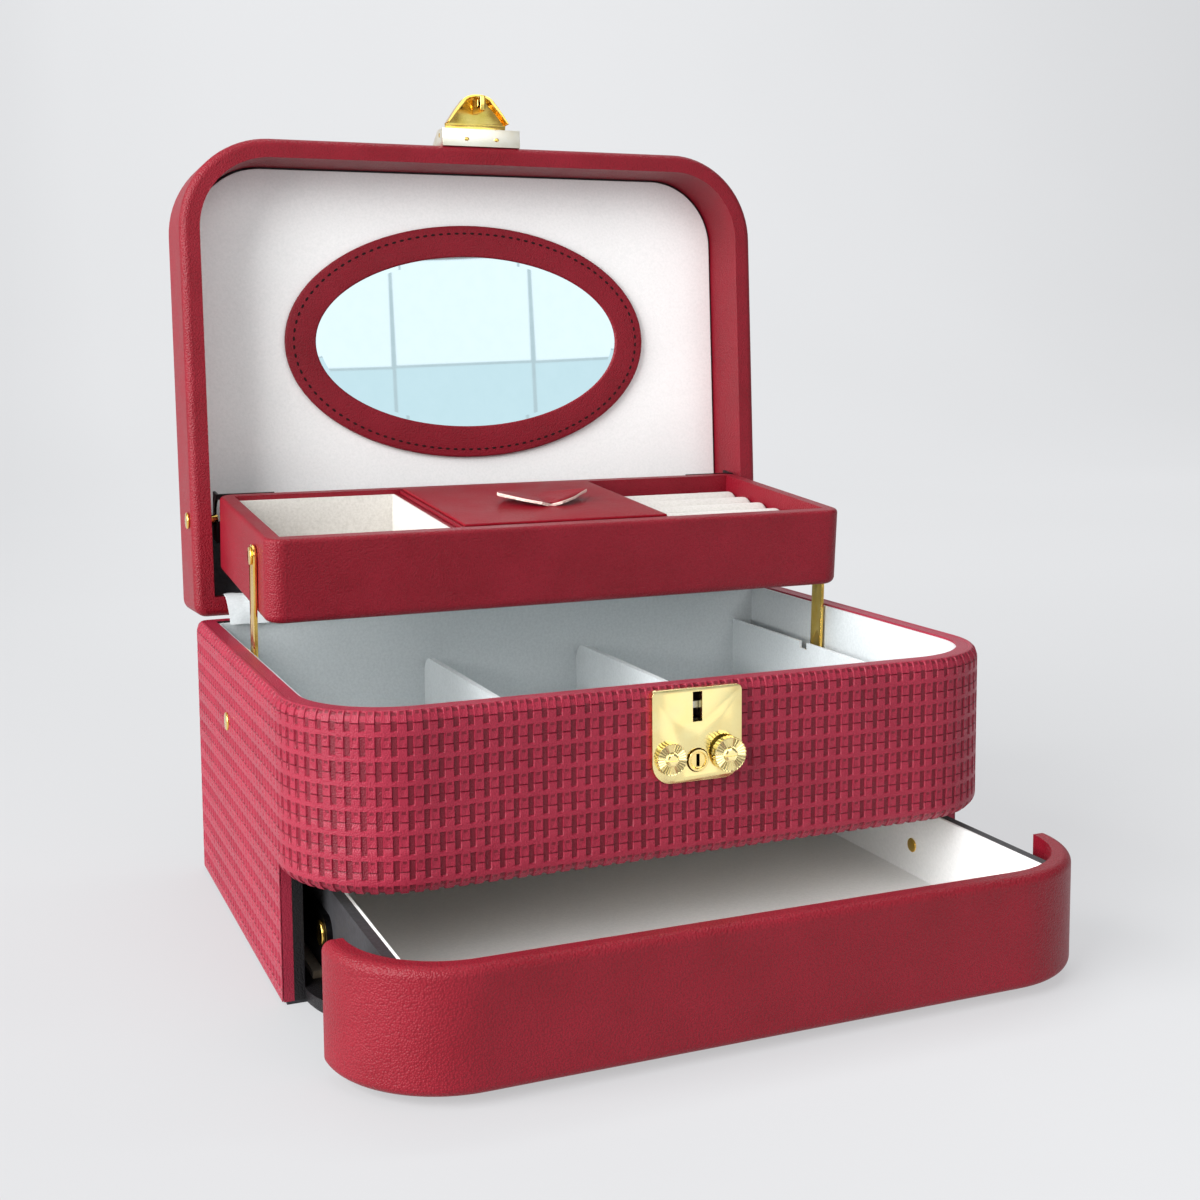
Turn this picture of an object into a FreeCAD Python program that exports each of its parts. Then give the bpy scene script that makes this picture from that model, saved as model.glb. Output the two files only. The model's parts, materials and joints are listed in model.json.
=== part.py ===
import FreeCAD, Part
import math
import os

# Leather jewellery case, shown open: lid up, tray raised, drawer out.
# Millimetres. X runs across the case, the front faces -Y, +Z is up, z = 0 is the table.

# Case body
case_width = 260.0
case_depth = 196.0
corner_radius = 38.0
rim_height = 102.5
band_bottom = 44.5
wall = 7.0
lining = 1.2
edge_round = 3.2
band_lower_round = 4.0
back_corner_round = 5.0
sole_thickness = 1.0
sole_inset = 1.0
floor_thickness = 4.0
shelf_thickness = 3.0
rim_reveal = 0.8

# Compartment fittings
panel_thickness = 1.2
panel_from_side = 18.0
panel_below_rim = 15.8
panel_notch_width = 6.0
panel_notch_depth = 3.0
divider_thickness = 2.4
divider_share = 0.3125
divider_below_rim = 20.8
divider_round = 8.0
guide_height = 2.5
guide_clearance = 0.4
guide_width = 3.6
guide_front_setback = 6.0

# Lid
lid_gap = 0.5
lid_height = 37.5
lid_wall = 8.0
lid_recess = 26.0
lid_lining_thickness = 2.0
lid_top_round = 7.0
lid_board_thickness = 4.0
lid_board_depth = 2.0
lid_open_angle = 93.0

# Padded crown of the lid's top, as distance in from its edge and rise above it
lid_crown = [
    (0.0, 0.0),
    (5.0, 1.9),
    (12.0, 3.0),
    (20.0, 3.7),
    (28.0, 4.0),
]

# Lid lining, gusset and mirror
lining_lower_edge = 36.5
gusset_thickness = 1.2
gusset_lower_depth = 6.0
mirror_centre = 113.5
mirror_frame_length = 168.0
mirror_frame_height = 103.5
mirror_frame_thickness = 2.5
mirror_sight_length = 141.0
mirror_sight_height = 75.6
mirror_lip = 2.6
mirror_thickness = 1.4

# Hinge along the back edge
hinge_setback = 0.5
hinge_end_inset = 14.0
hinge_knuckles = 9
hinge_knuckle_gap = 0.4
hinge_radius = 1.5
hinge_pin_radius = 0.75
hinge_leaf_thickness = 0.8
hinge_leaf_width = 5.4
hinge_clearance = 0.3
screw_radius = 1.3
screw_depth = 3.0
screw_count = 6

# Lifting linkage
running_clearance = 0.05
lever_thickness = 1.2
lever_half_width = 4.2
lever_side_gap = 0.4
lever_ahead_of_hinge = 70.2
drive_pin_rise = 7.976
pivot_radius = 2.0
pivot_head_radius = 3.4
pivot_head = 0.8
outer_head = 1.2
lid_pin_from_hinge = 40.1
lid_pin_depth = 8.0
lid_pin_end_gap = 0.1
drive_pin_radius = 1.8
drive_pin_end_gap = 0.3
drive_play = 0.7
slot_margin = 2.4
slot_side_margin = 1.0
path_steps = 24
fitting_rounds = 60

# Tray
tray_from_side = 11.0
tray_depth = 100.0
tray_height = 31.4
tray_wall = 6.0
tray_corner_round = 7.0
tray_edge_round = 1.6
tray_lower_round = 3.0
tray_floor_thickness = 3.0
tray_floor_rise = 2.0
tray_divider_share = 0.36555
tray_divider_thickness = 4.0
tray_divider_drop = 2.0
tray_tilt = 4.7
tray_back_behind_hinge = 8.2
tray_back_above_hinge = 19.05
tray_closed_gap = 1.5
tray_lining = 1.0
stud_from_back = 80.0
stud_height = 22.0
ear_thickness = 1.0
ear_inset = 0.3
ear_length = 8.2
ear_bottom = 11.0
ear_flange = 24.0
roll_count = 6
roll_gap = 0.5
roll_top = 25.0
roll_end_gap = 0.5

# Padded cover of the middle well
cover_gap = 0.6
cover_plug = 3.0
cover_plug_gap = 0.5
cover_board = 1.2
cover_pad = 2.2
cover_crown = 1.4
cover_draw_in = 0.7
cover_seat_gap = 0.3
tab_width = 35.0
tab_length = 24.0
tab_thickness = 1.2
tab_drop = 0.3

# Right half of the tab's outline, as shares of its half width and of its length from its middle
tab_outline = [
    (0.0, -0.5),
    (0.62, -0.16),
    (1.0, 0.0),
    (0.72, 0.4),
    (0.4, 0.5),
    (0.12, 0.42),
    (0.0, 0.25),
]

# Drawer
drawer_bottom_gap = 3.2
drawer_top_gap = 3.3
drawer_front_thickness = 6.4
drawer_front_round = 3.0
drawer_end_gap = 0.8
drawer_slide_gap = 0.3
drawer_from_side = 15.0
drawer_side_thickness = 3.4
drawer_side_drop = 3.0
drawer_base_thickness = 3.0
drawer_lining_floor = 3.2
drawer_lining_wall = 1.0
drawer_back_gap = 19.0
drawer_travel = 55.7
arm_thickness = 2.0
arm_half_width = 6.0
rivet_from_front = 92.7
arm_above_pin = 3.479
rivet_radius = 1.8
rivet_head_radius = 4.2
rivet_head = 1.2
rivet_tail_radius = 2.7
rivet_tail = 0.6
rear_rivet_from_back = 5.6

# Lock on the front band
lock_width = 32.6
lock_height = 31.2
lock_thickness = 2.8
lock_top_gap = 0.8
lock_lower_round = 7.0
lock_upper_round = 2.0
lock_slot_width = 3.4
lock_slot_height = 10.0
lock_slot_drop = 1.3
lock_pocket_depth = 5.5
rosette_spacing = 20.4
rosette_above_base = 8.6
rosette_radius = 5.4
rosette_height = 3.2
rosette_stem_radius = 2.2
rosette_button_radius = 2.0
rosette_button_height = 0.9
rosette_slot_width = 0.9
rosette_flutes = 18
rosette_flute_radius = 0.45
button_radius = 6.1
button_height = 3.4
button_travel = 1.6
button_rest_gap = 0.2
button_stem_radius = 2.6
key_radius = 3.65
key_above_base = 7.0
key_proud = 0.8
key_slot_width = 1.2
key_slot_length = 4.6
key_slot_depth = 3.0
catch_nose = 2.2
catch_width = 4.4
catch_height = 8.5
catch_travel = 2.2
catch_seat_gap = 0.3
catch_side_gap = 1.0
latch_depth = 1.05

# Hasp on the lid
hasp_width = 35.2
hasp_height = 17.0
hasp_proud = 7.5
hasp_sheet = 1.2
hasp_above_rim = 1.0
hasp_pin_radius = 1.0
hasp_pin_above_strip = 5.0
hasp_pin_out = 5.0
hasp_knuckle_radius = 2.2
hasp_side_gap = 0.4
flap_sheet = 0.9
flap_offset = 2.8
flap_length = 18.0
flap_tip_width = 13.0
flap_rim_start = 5.8
flap_rim_depth = 4.6
flap_raised_angle = 90.0
staple_width = 2.4
staple_height = 6.4
staple_reach = 11.2
staple_from_pin = 13.2
staple_eye = 3.4

V = FreeCAD.Vector
X_AXIS = V(1, 0, 0)
Y_AXIS = V(0, 1, 0)
Z_AXIS = V(0, 0, 1)
TOUCH = 0.01

# Places worked out from the sizes above
half_width = case_width / 2
front_y = -case_depth / 2
back_y = case_depth / 2
corner_y = front_y + corner_radius
inner_x = half_width - wall
inner_back_y = back_y - wall
floor_top = sole_thickness + floor_thickness
shelf_top = band_bottom + shelf_thickness
shelf_lining_top = shelf_top + lining
panel_top = rim_height - panel_below_rim
panel_half_spacing = half_width - panel_from_side
divider_top = rim_height - divider_below_rim
divider_half_spacing = panel_half_spacing * divider_share
lid_rim = rim_height + lid_gap
lid_top = lid_rim + lid_height
lid_inner_x = half_width - lid_wall
lid_lining_z = lid_rim + lid_recess
hinge_y = back_y + hinge_setback
hinge_z = rim_height + lid_gap / 2
hinge_point = V(0, hinge_y, hinge_z)
hinge_length = case_width - 2 * hinge_end_inset
leaf_end_y = hinge_y - hinge_radius - hinge_clearance

tray_half = half_width - tray_from_side
tray_divider_half_spacing = tray_half * tray_divider_share
tray_inner_x = tray_half - tray_wall
tray_front = -tray_depth
tray_well_floor = tray_floor_rise + tray_floor_thickness
tray_back_y = hinge_y + tray_back_behind_hinge
tray_back_z = hinge_z + tray_back_above_hinge
tray_closed_z = panel_top + tray_closed_gap

drawer_half_width = half_width - drawer_from_side
drawer_z0 = drawer_bottom_gap
drawer_z1 = band_bottom - drawer_top_gap
drawer_low = floor_top + drawer_slide_gap
drawer_side_top = drawer_z1 - drawer_side_drop
drawer_base_top = drawer_low + drawer_base_thickness
drawer_inner_x = drawer_half_width - drawer_side_thickness
drawer_back_y = inner_back_y - drawer_back_gap
drawer_back_inner = drawer_back_y - drawer_side_thickness


def turn(point, degrees):
    """Turn a (y, z) pair about the X axis, positive taking the back upwards."""
    angle = math.radians(degrees)
    y = point[0] * math.cos(angle) - point[1] * math.sin(angle)
    z = point[0] * math.sin(angle) + point[1] * math.cos(angle)
    return y, z


# The lever turns on the base and carries the tray at its stud. Its lower end drives the drawer.
pivot_y = hinge_y - lever_ahead_of_hinge
stud_turned = turn((-stud_from_back, stud_height), tray_tilt)
stud_y = tray_back_y + stud_turned[0]
stud_z = tray_back_z + stud_turned[1]
stud_closed_z = tray_closed_z + stud_height
drive_low_z = floor_top + drive_pin_rise


def lever_turn_about(height):
    """Turn of the lever from raised to closed, with its pivot at that height."""
    length = math.hypot(stud_y - pivot_y, stud_z - height)
    raised_lean = math.atan2(pivot_y - stud_y, stud_z - height)
    return math.degrees(math.acos((stud_closed_z - height) / length) - raised_lean)


def drive_length_about(height):
    """Length of the lever's lower arm that moves the drawer by its travel."""
    return drawer_travel / 2 / math.sin(math.radians(lever_turn_about(height) / 2))


# The pivot's height is found by rounds, so that the drive pin passes low over the floor.
pivot_z = (stud_closed_z + drive_low_z) / 2
for fitting_round in range(fitting_rounds):
    pivot_z = drive_low_z + drive_length_about(pivot_z)
lever_turn = lever_turn_about(pivot_z)
drive_length = drive_length_about(pivot_z)
drive_half_angle = math.radians(lever_turn / 2)
drive_open_y = pivot_y - drawer_travel / 2
drive_closed_y = pivot_y + drawer_travel / 2
drive_end_z = pivot_z - drive_length * math.cos(drive_half_angle)
rivet_height = drive_end_z + arm_above_pin
lever_x0 = tray_half + lever_side_gap
lever_x1 = lever_x0 + lever_thickness


def lid_pin_in_tray(closing):
    """Place of the lid's pin in the tray's own frame, for a closing share from 0 to 1."""
    pin = turn((-lid_pin_from_hinge, lid_pin_depth), -lid_open_angle * (1 - closing))
    stud = turn((stud_y - pivot_y, stud_z - pivot_z), lever_turn * closing)
    reach = (hinge_y + pin[0] - pivot_y - stud[0], hinge_z + pin[1] - pivot_z - stud[1])
    local = turn(reach, -tray_tilt * (1 - closing))
    return local[0] - stud_from_back, local[1] + stud_height


# Shape helpers
def block(x0, x1, y0, y1, z0, z1):
    return Part.makeBox(x1 - x0, y1 - y0, z1 - z0, V(x0, y0, z0))


def rod_x(x0, x1, y, z, radius):
    return Part.makeCylinder(radius, x1 - x0, V(x0, y, z), X_AXIS)


def rod_y(y0, y1, x, z, radius):
    return Part.makeCylinder(radius, y1 - y0, V(x, y0, z), Y_AXIS)


def wire_of(curves):
    return Part.Wire([curve.toShape() for curve in curves])


def polygon(points):
    return Part.Face(Part.makePolygon(points + [points[0]]))


def case_plan(inset, back):
    """Plan of the case, square at the back and rounded at the front, drawn in by inset."""
    half = half_width - inset
    front = front_y + inset
    radius = corner_radius - inset
    bend = radius * (1 - math.sqrt(0.5))
    a = V(-half, back, 0)
    b = V(-half, front + radius, 0)
    c = V(-half + radius, front, 0)
    d = V(half - radius, front, 0)
    e = V(half, front + radius, 0)
    f = V(half, back, 0)
    left_mid = V(-half + bend, front + bend, 0)
    right_mid = V(half - bend, front + bend, 0)
    curves = [
        Part.LineSegment(a, b),
        Part.Arc(b, left_mid, c),
        Part.LineSegment(c, d),
        Part.Arc(d, right_mid, e),
        Part.LineSegment(e, f),
        Part.LineSegment(f, a),
    ]
    return Part.Face(wire_of(curves))


def plan_wire(inset, z):
    """Outline of the case at height z, drawn in by inset all round."""
    wire = case_plan(inset, back_y - inset).OuterWire
    wire.translate(V(0, 0, z))
    return wire


def plan_slab(inset, back, z0, z1):
    face = case_plan(inset, back)
    face.translate(V(0, 0, z0))
    return face.extrude(V(0, 0, z1 - z0))


def rounded_block(x0, x1, y0, y1, z0, z1, radius):
    """Block with its upright edges rounded."""
    shape = block(x0, x1, y0, y1, z0, z1)
    upright = [edge for edge in shape.Edges if abs(edge.tangentAt(edge.FirstParameter).z) > 0.5]
    return shape.makeFillet(radius, upright)


def middle_of(edge):
    return edge.valueAt((edge.FirstParameter + edge.LastParameter) / 2)


def round_edges(shape, radius, test):
    """Round every edge whose middle point passes the test."""
    return shape.makeFillet(radius, [edge for edge in shape.Edges if test(edge, middle_of(edge))])


def on_case_outside(point):
    x = abs(point.x)
    centre_x = half_width - corner_radius
    if point.y < corner_y - TOUCH and x > centre_x + TOUCH:
        return abs(math.hypot(x - centre_x, point.y - corner_y) - corner_radius) < TOUCH
    on_side = abs(x - half_width) < TOUCH
    return on_side or abs(point.y - front_y) < TOUCH or abs(point.y - back_y) < TOUCH


def outer_edge_at(z):
    return lambda edge, point: abs(point.z - z) < TOUCH and on_case_outside(point)


def bar_x(x0, x1, start, end, radius):
    """Flat bar with round ends, between two (y, z) points, from x0 to x1."""
    run = V(0, end[0] - start[0], end[1] - start[1])
    run.normalize()
    side = V(0, -run.z, run.y) * radius
    tip = run * radius
    a = V(x0, start[0], start[1])
    b = V(x0, end[0], end[1])
    curves = [
        Part.LineSegment(a + side, b + side),
        Part.Arc(b + side, b + tip, b - side),
        Part.LineSegment(b - side, a - side),
        Part.Arc(a - side, a - tip, a + side),
    ]
    return Part.Face(wire_of(curves)).extrude(V(x1 - x0, 0, 0))


def arched_block(x0, x1, y0, y1, z0, z1, crown):
    """Block whose top rises by crown to its middle, both ways."""
    mid_x = (x0 + x1) / 2
    mid_y = (y0 + y1) / 2
    across = [
        Part.Arc(V(x0, y0, z1), V(mid_x, y0, z1 + crown), V(x1, y0, z1)),
        Part.LineSegment(V(x1, y0, z1), V(x1, y0, z0)),
        Part.LineSegment(V(x1, y0, z0), V(x0, y0, z0)),
        Part.LineSegment(V(x0, y0, z0), V(x0, y0, z1)),
    ]
    along = [
        Part.Arc(V(x0, y0, z1), V(x0, mid_y, z1 + crown), V(x0, y1, z1)),
        Part.LineSegment(V(x0, y1, z1), V(x0, y1, z0)),
        Part.LineSegment(V(x0, y1, z0), V(x0, y0, z0)),
        Part.LineSegment(V(x0, y0, z0), V(x0, y0, z1)),
    ]
    arched_x = Part.Face(wire_of(across)).extrude(V(0, y1 - y0, 0))
    arched_y = Part.Face(wire_of(along)).extrude(V(x1 - x0, 0, 0))
    return arched_x.common(arched_y)


def cushion_block(x0, x1, y0, y1, z0, z1, crown, draw_in):
    """Crowned cushion with its sides drawn in between the corners."""
    mid_x = (x0 + x1) / 2
    mid_y = (y0 + y1) / 2
    corners = [V(x0, y0, z0), V(x1, y0, z0), V(x1, y1, z0), V(x0, y1, z0)]
    waists = [
        V(mid_x, y0 + draw_in, z0),
        V(x1 - draw_in, mid_y, z0),
        V(mid_x, y1 - draw_in, z0),
        V(x0 + draw_in, mid_y, z0),
    ]
    sides = [Part.Arc(corners[i], waists[i], corners[(i + 1) % 4]) for i in range(4)]
    body = Part.Face(wire_of(sides)).extrude(V(0, 0, z1 + crown - z0))
    return body.common(arched_block(x0, x1, y0, y1, z0, z1, crown))


def mirrored(shape):
    return shape.mirror(V(0, 0, 0), X_AXIS)


def pair(name, shape):
    """The right-hand piece and its mirror image on the left."""
    return {"right_" + name: shape, "left_" + name: mirrored(shape)}


def both(shape):
    """One group of the right-hand piece and its mirror image."""
    return Part.makeCompound([shape, mirrored(shape)])


# Poses of the photographed state
def lid_opened(shape):
    moved = shape.copy()
    moved.rotate(hinge_point, X_AXIS, -lid_open_angle)
    return moved


def tray_raised(shape):
    moved = shape.copy()
    moved.rotate(V(0, 0, 0), X_AXIS, tray_tilt)
    moved.translate(V(0, tray_back_y, tray_back_z))
    return moved


def drawer_opened(shape):
    moved = shape.copy()
    moved.translate(V(0, -drawer_travel, 0))
    return moved


def posed(pieces, pose):
    return {name: pose(shape) for name, shape in pieces.items()}


# Base
lock_top = rim_height - lock_top_gap
lock_base = lock_top - lock_height
lock_face_y = front_y - lock_thickness
slot_top = lock_top - lock_slot_drop
slot_base = slot_top - lock_slot_height
slot_mid = (slot_top + slot_base) / 2
pocket_y = front_y + lock_pocket_depth
rosette_x = rosette_spacing / 2
rosette_z = lock_base + rosette_above_base
key_z = lock_base + key_above_base
button_back_y = lock_face_y - button_travel - button_rest_gap
catch_x0 = staple_width / 2 + catch_side_gap
catch_z0 = slot_mid - catch_height / 2
latch_y = front_y + latch_depth


def front_shell(thickness, back, z0, z1):
    """Front of the case with both rounded corners, as far back as y = back."""
    shell = plan_slab(0, back_y, z0, z1).cut(plan_slab(thickness, back_y, z0, z1))
    return shell.common(block(-half_width, half_width, front_y, back, z0, z1))


def base_sole():
    under_floor = plan_slab(wall + sole_inset, inner_back_y, 0, sole_thickness)
    half = half_width - sole_inset
    under_walls = block(-half, half, corner_y, back_y - sole_inset, 0, sole_thickness)
    return under_floor.fuse(under_walls).removeSplitter()


def front_band():
    band = front_shell(wall, corner_y, band_bottom, rim_height)
    band = round_edges(band, edge_round, outer_edge_at(rim_height))
    band = round_edges(band, band_lower_round, outer_edge_at(band_bottom))
    pocket_right = catch_x0 + catch_width + catch_travel + catch_seat_gap
    pocket_low = catch_z0 - catch_seat_gap
    pocket = block(-lock_slot_width, pocket_right, front_y, pocket_y, pocket_low, slot_top)
    band = band.cut(pocket)
    band = band.cut(rod_y(front_y, pocket_y, -rosette_x, rosette_z, rosette_stem_radius))
    stem_bore = button_stem_radius + running_clearance
    band = band.cut(rod_y(front_y, front_y + wall, rosette_x, rosette_z, stem_bore))
    return band.cut(rod_y(front_y, pocket_y, 0, key_z, key_radius + running_clearance))


def side_wall():
    shape = block(inner_x, half_width, corner_y, inner_back_y, sole_thickness, rim_height)
    shape = round_edges(shape, edge_round, outer_edge_at(rim_height))
    return shape.cut(rod_x(inner_x, half_width, pivot_y, pivot_z, pivot_radius))


def hinge_screws(z0, z1):
    step = hinge_length / screw_count
    y = leaf_end_y - hinge_leaf_width / 2
    places = [-hinge_length / 2 + step * (i + 0.5) for i in range(screw_count)]
    return [Part.makeCylinder(screw_radius, z1 - z0, V(x, y, z0), Z_AXIS) for x in places]


def back_wall():
    shape = block(-half_width, half_width, inner_back_y, back_y, sole_thickness, rim_height)
    upright = lambda edge, p: abs(abs(p.x) - half_width) < TOUCH and abs(p.y - back_y) < TOUCH
    shape = round_edges(shape, back_corner_round, upright)
    top_round = lambda edge, p: abs(p.z - rim_height) < TOUCH and p.y > inner_back_y + TOUCH
    shape = round_edges(shape, edge_round, top_round)
    shape = shape.cut(leaf_strip(rim_height - hinge_leaf_thickness, rim_height, hinge_y))
    for screw in hinge_screws(rim_height - screw_depth, rim_height):
        shape = shape.cut(screw)
    return shape


def leaf_strip(z0, z1, end):
    """Flat of a hinge leaf, from the wall's inner part to y = end."""
    half = hinge_length / 2
    return block(-half, half, leaf_end_y - hinge_leaf_width, end, z0, z1)


def hinge_leaf(first, z0, z1):
    """Leaf with every second knuckle, bored for the pin."""
    leaf = leaf_strip(z0, z1, leaf_end_y)
    pitch = hinge_length / hinge_knuckles
    for index in range(first, hinge_knuckles, 2):
        x0 = -hinge_length / 2 + pitch * index + hinge_knuckle_gap / 2
        x1 = x0 + pitch - hinge_knuckle_gap
        leaf = leaf.fuse(block(x0, x1, leaf_end_y, hinge_y, z0, z1))
        leaf = leaf.fuse(rod_x(x0, x1, hinge_y, hinge_z, hinge_radius))
    bore = hinge_pin_radius + running_clearance
    leaf = leaf.cut(rod_x(-hinge_length / 2, hinge_length / 2, hinge_y, hinge_z, bore)).removeSplitter()
    low = z0 if z0 > hinge_z else z0 - TOUCH
    for screw in hinge_screws(low, z1 + TOUCH):
        leaf = leaf.cut(screw)
    return leaf


def lever_slot(z0, z1):
    """Opening that the lever's lower arm swings through."""
    reach = (pivot_z - z0) * math.tan(drive_half_angle)
    half_bar = lever_half_width / math.cos(drive_half_angle) + slot_margin
    side = lever_side_gap + slot_side_margin
    y0 = pivot_y - reach - half_bar
    y1 = pivot_y + reach + half_bar
    return block(lever_x0 - side, lever_x1 + side, y0, y1, z0, z1)


def without_lever_slots(shape, z0, z1):
    slot = lever_slot(z0, z1)
    return shape.cut(slot).cut(mirrored(slot))


def wall_lining():
    shape = plan_slab(wall, inner_back_y, shelf_top, rim_height - rim_reveal)
    shape = shape.cut(plan_slab(wall + lining, inner_back_y - lining, shelf_top, rim_height))
    return shape.cut(rod_x(-half_width, half_width, pivot_y, pivot_z, pivot_radius))


def channel_panel():
    x0 = panel_half_spacing
    x1 = x0 + panel_thickness
    shape = block(x0, x1, front_y, back_y, shelf_lining_top, panel_top)
    shape = shape.common(plan_slab(wall + lining, inner_back_y - lining, shelf_lining_top, panel_top))
    notch_y = pivot_y - panel_notch_width
    notch = block(x0, x1, notch_y, notch_y + panel_notch_width, panel_top - panel_notch_depth, panel_top)
    return shape.cut(notch)


def divider():
    x0 = divider_half_spacing - divider_thickness / 2
    x1 = x0 + divider_thickness
    shape = block(x0, x1, front_y + wall + lining, inner_back_y - lining, shelf_lining_top, divider_top)
    back_top = lambda edge, p: abs(p.z - divider_top) < TOUCH and p.y > inner_back_y - lining - TOUCH
    return round_edges(shape, divider_round, back_top)


def drawer_guide():
    x0 = drawer_half_width + guide_clearance
    y0 = corner_y + guide_front_setback
    return block(x0, x0 + guide_width, y0, inner_back_y, floor_top, floor_top + guide_height)


def lever_rivet():
    inside = lever_x0 - 2 * running_clearance
    shank = rod_x(inside, half_width, pivot_y, pivot_z, pivot_radius)
    head = rod_x(half_width, half_width + outer_head, pivot_y, pivot_z, pivot_head_radius)
    tail = rod_x(inside - pivot_head, inside, pivot_y, pivot_z, pivot_head_radius)
    return shank.fuse(head).fuse(tail).removeSplitter()


def lock_plate():
    half = lock_width / 2
    shape = block(-half, half, lock_face_y, front_y, lock_base, lock_top)
    across = lambda z: lambda edge, p: abs(abs(p.x) - half) < TOUCH and abs(p.z - z) < TOUCH
    shape = round_edges(shape, lock_lower_round, across(lock_base))
    shape = round_edges(shape, lock_upper_round, across(lock_top))
    half_slot = lock_slot_width / 2
    shape = shape.cut(block(-half_slot, half_slot, lock_face_y, front_y, slot_base, slot_top))
    shape = shape.cut(rod_y(lock_face_y, front_y, -rosette_x, rosette_z, rosette_stem_radius))
    stem_bore = button_stem_radius + running_clearance
    shape = shape.cut(rod_y(lock_face_y, front_y, rosette_x, rosette_z, stem_bore))
    return shape.cut(rod_y(lock_face_y, front_y, 0, key_z, key_radius + running_clearance))


def rosette_disc(x, back, height, radius):
    """Fluted disc with a slotted centre, its back at y = back."""
    face = back - height
    disc = rod_y(face, back, x, rosette_z, radius)
    for index in range(rosette_flutes):
        angle = 2 * math.pi * index / rosette_flutes
        flute_x = x + radius * math.cos(angle)
        flute_z = rosette_z + radius * math.sin(angle)
        disc = disc.cut(rod_y(face, back, flute_x, flute_z, rosette_flute_radius))
    top = face - rosette_button_height
    centre = rod_y(top, face, x, rosette_z, rosette_button_radius)
    reach = rosette_button_radius
    slot_z0 = rosette_z - rosette_slot_width / 2
    slot_z1 = rosette_z + rosette_slot_width / 2
    return disc.fuse(centre.cut(block(x - reach, x + reach, top, face, slot_z0, slot_z1)))


def left_rosette():
    stem = rod_y(lock_face_y, pocket_y, -rosette_x, rosette_z, rosette_stem_radius)
    return rosette_disc(-rosette_x, lock_face_y, rosette_height, rosette_radius).fuse(stem)


def release_button():
    stem = rod_y(button_back_y, pocket_y - button_travel, rosette_x, rosette_z, button_stem_radius)
    return rosette_disc(rosette_x, button_back_y, button_height, button_radius).fuse(stem)


def key_cylinder():
    face = lock_face_y - key_proud
    shape = rod_y(face, pocket_y, 0, key_z, key_radius)
    half = key_slot_width / 2
    length = key_slot_length / 2
    return shape.cut(block(-half, half, face, face + key_slot_depth, key_z - length, key_z + length))


def lock_catch():
    gap = catch_seat_gap
    body_y0 = front_y + gap
    body_y1 = pocket_y - gap
    x1 = catch_x0 + catch_width
    body = block(catch_x0, x1, body_y0, body_y1, catch_z0, catch_z0 + catch_height)
    half = catch_nose / 2
    nose_x0 = staple_width / 2 - catch_travel + gap
    nose = block(nose_x0, catch_x0, body_y0, latch_y + half, slot_mid - half, slot_mid + half)
    return body.fuse(nose).removeSplitter()


def base_pieces():
    pieces = {
        "base_sole": base_sole(),
        "base_floor_board": plan_slab(wall, inner_back_y, sole_thickness, floor_top),
        "front_band": front_band(),
        "back_wall": back_wall(),
        "compartment_shelf": without_lever_slots(
            plan_slab(wall, inner_back_y, band_bottom, shelf_top), band_bottom, shelf_top
        ),
        "shelf_lining": without_lever_slots(
            plan_slab(wall + lining, inner_back_y - lining, shelf_top, shelf_lining_top),
            band_bottom,
            shelf_lining_top,
        ),
        "wall_lining": wall_lining(),
        "base_hinge_leaf": hinge_leaf(0, rim_height - hinge_leaf_thickness, rim_height),
        "hinge_pin": rod_x(-hinge_length / 2, hinge_length / 2, hinge_y, hinge_z, hinge_pin_radius),
        "base_hinge_screws": Part.makeCompound(hinge_screws(rim_height - screw_depth, rim_height)),
        "lock_plate": lock_plate(),
        "left_rosette": left_rosette(),
    }
    pieces.update(pair("side_wall", side_wall()))
    pieces.update(pair("channel_panel", channel_panel()))
    pieces.update(pair("divider", divider()))
    pieces["drawer_guides"] = both(drawer_guide())
    pieces["lever_rivets"] = both(lever_rivet())
    return pieces


def lock_pieces():
    return {
        "release_button": release_button(),
        "lock_catch": lock_catch(),
        "key_cylinder": key_cylinder(),
    }


# Lid, drawn closed and then turned open about the hinge
lid_pin_y = hinge_y - lid_pin_from_hinge
lid_pin_z = hinge_z + lid_pin_depth
strip_z0 = lid_rim + hasp_above_rim
hasp_pin_y = front_y - hasp_pin_out
hasp_pin_z = strip_z0 + hasp_pin_above_strip
hasp_half = hasp_width / 2
ear_x1 = tray_half + ear_inset
ear_x0 = ear_x1 - ear_thickness


def lid_frame():
    shape = plan_slab(0, back_y, lid_rim, lid_top)
    upright = lambda edge, p: abs(abs(p.x) - half_width) < TOUCH and abs(p.y - back_y) < TOUCH
    shape = round_edges(shape, back_corner_round, upright)
    top_edge = lambda edge, p: abs(p.z - lid_top) < TOUCH
    shape = round_edges(shape, lid_top_round, top_edge)
    rim_edge = lambda edge, p: abs(p.z - lid_rim) < TOUCH
    shape = round_edges(shape, edge_round, rim_edge)
    shape = shape.cut(plan_slab(lid_wall, back_y - lid_wall, lid_rim, lid_top))
    shape = shape.cut(leaf_strip(lid_rim, lid_rim + hinge_leaf_thickness, hinge_y))
    for screw in hinge_screws(lid_rim, lid_rim + screw_depth):
        shape = shape.cut(screw)
    return shape.cut(rod_x(-half_width, half_width, lid_pin_y, lid_pin_z, pivot_radius))


def lid_top_panel():
    """Board let into the frame, with a padded crown on its outer face."""
    z1 = lid_top - lid_board_depth
    sections = [plan_wire(lid_wall, z1 - lid_board_thickness)]
    sections += [plan_wire(lid_wall + inset, z1 + rise) for inset, rise in lid_crown]
    return Part.makeLoft(sections, True, True)


def lid_lining():
    z1 = lid_lining_z + lid_lining_thickness
    lower = hinge_y - lining_lower_edge
    return plan_slab(lid_wall, lower, lid_lining_z, z1)


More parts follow.
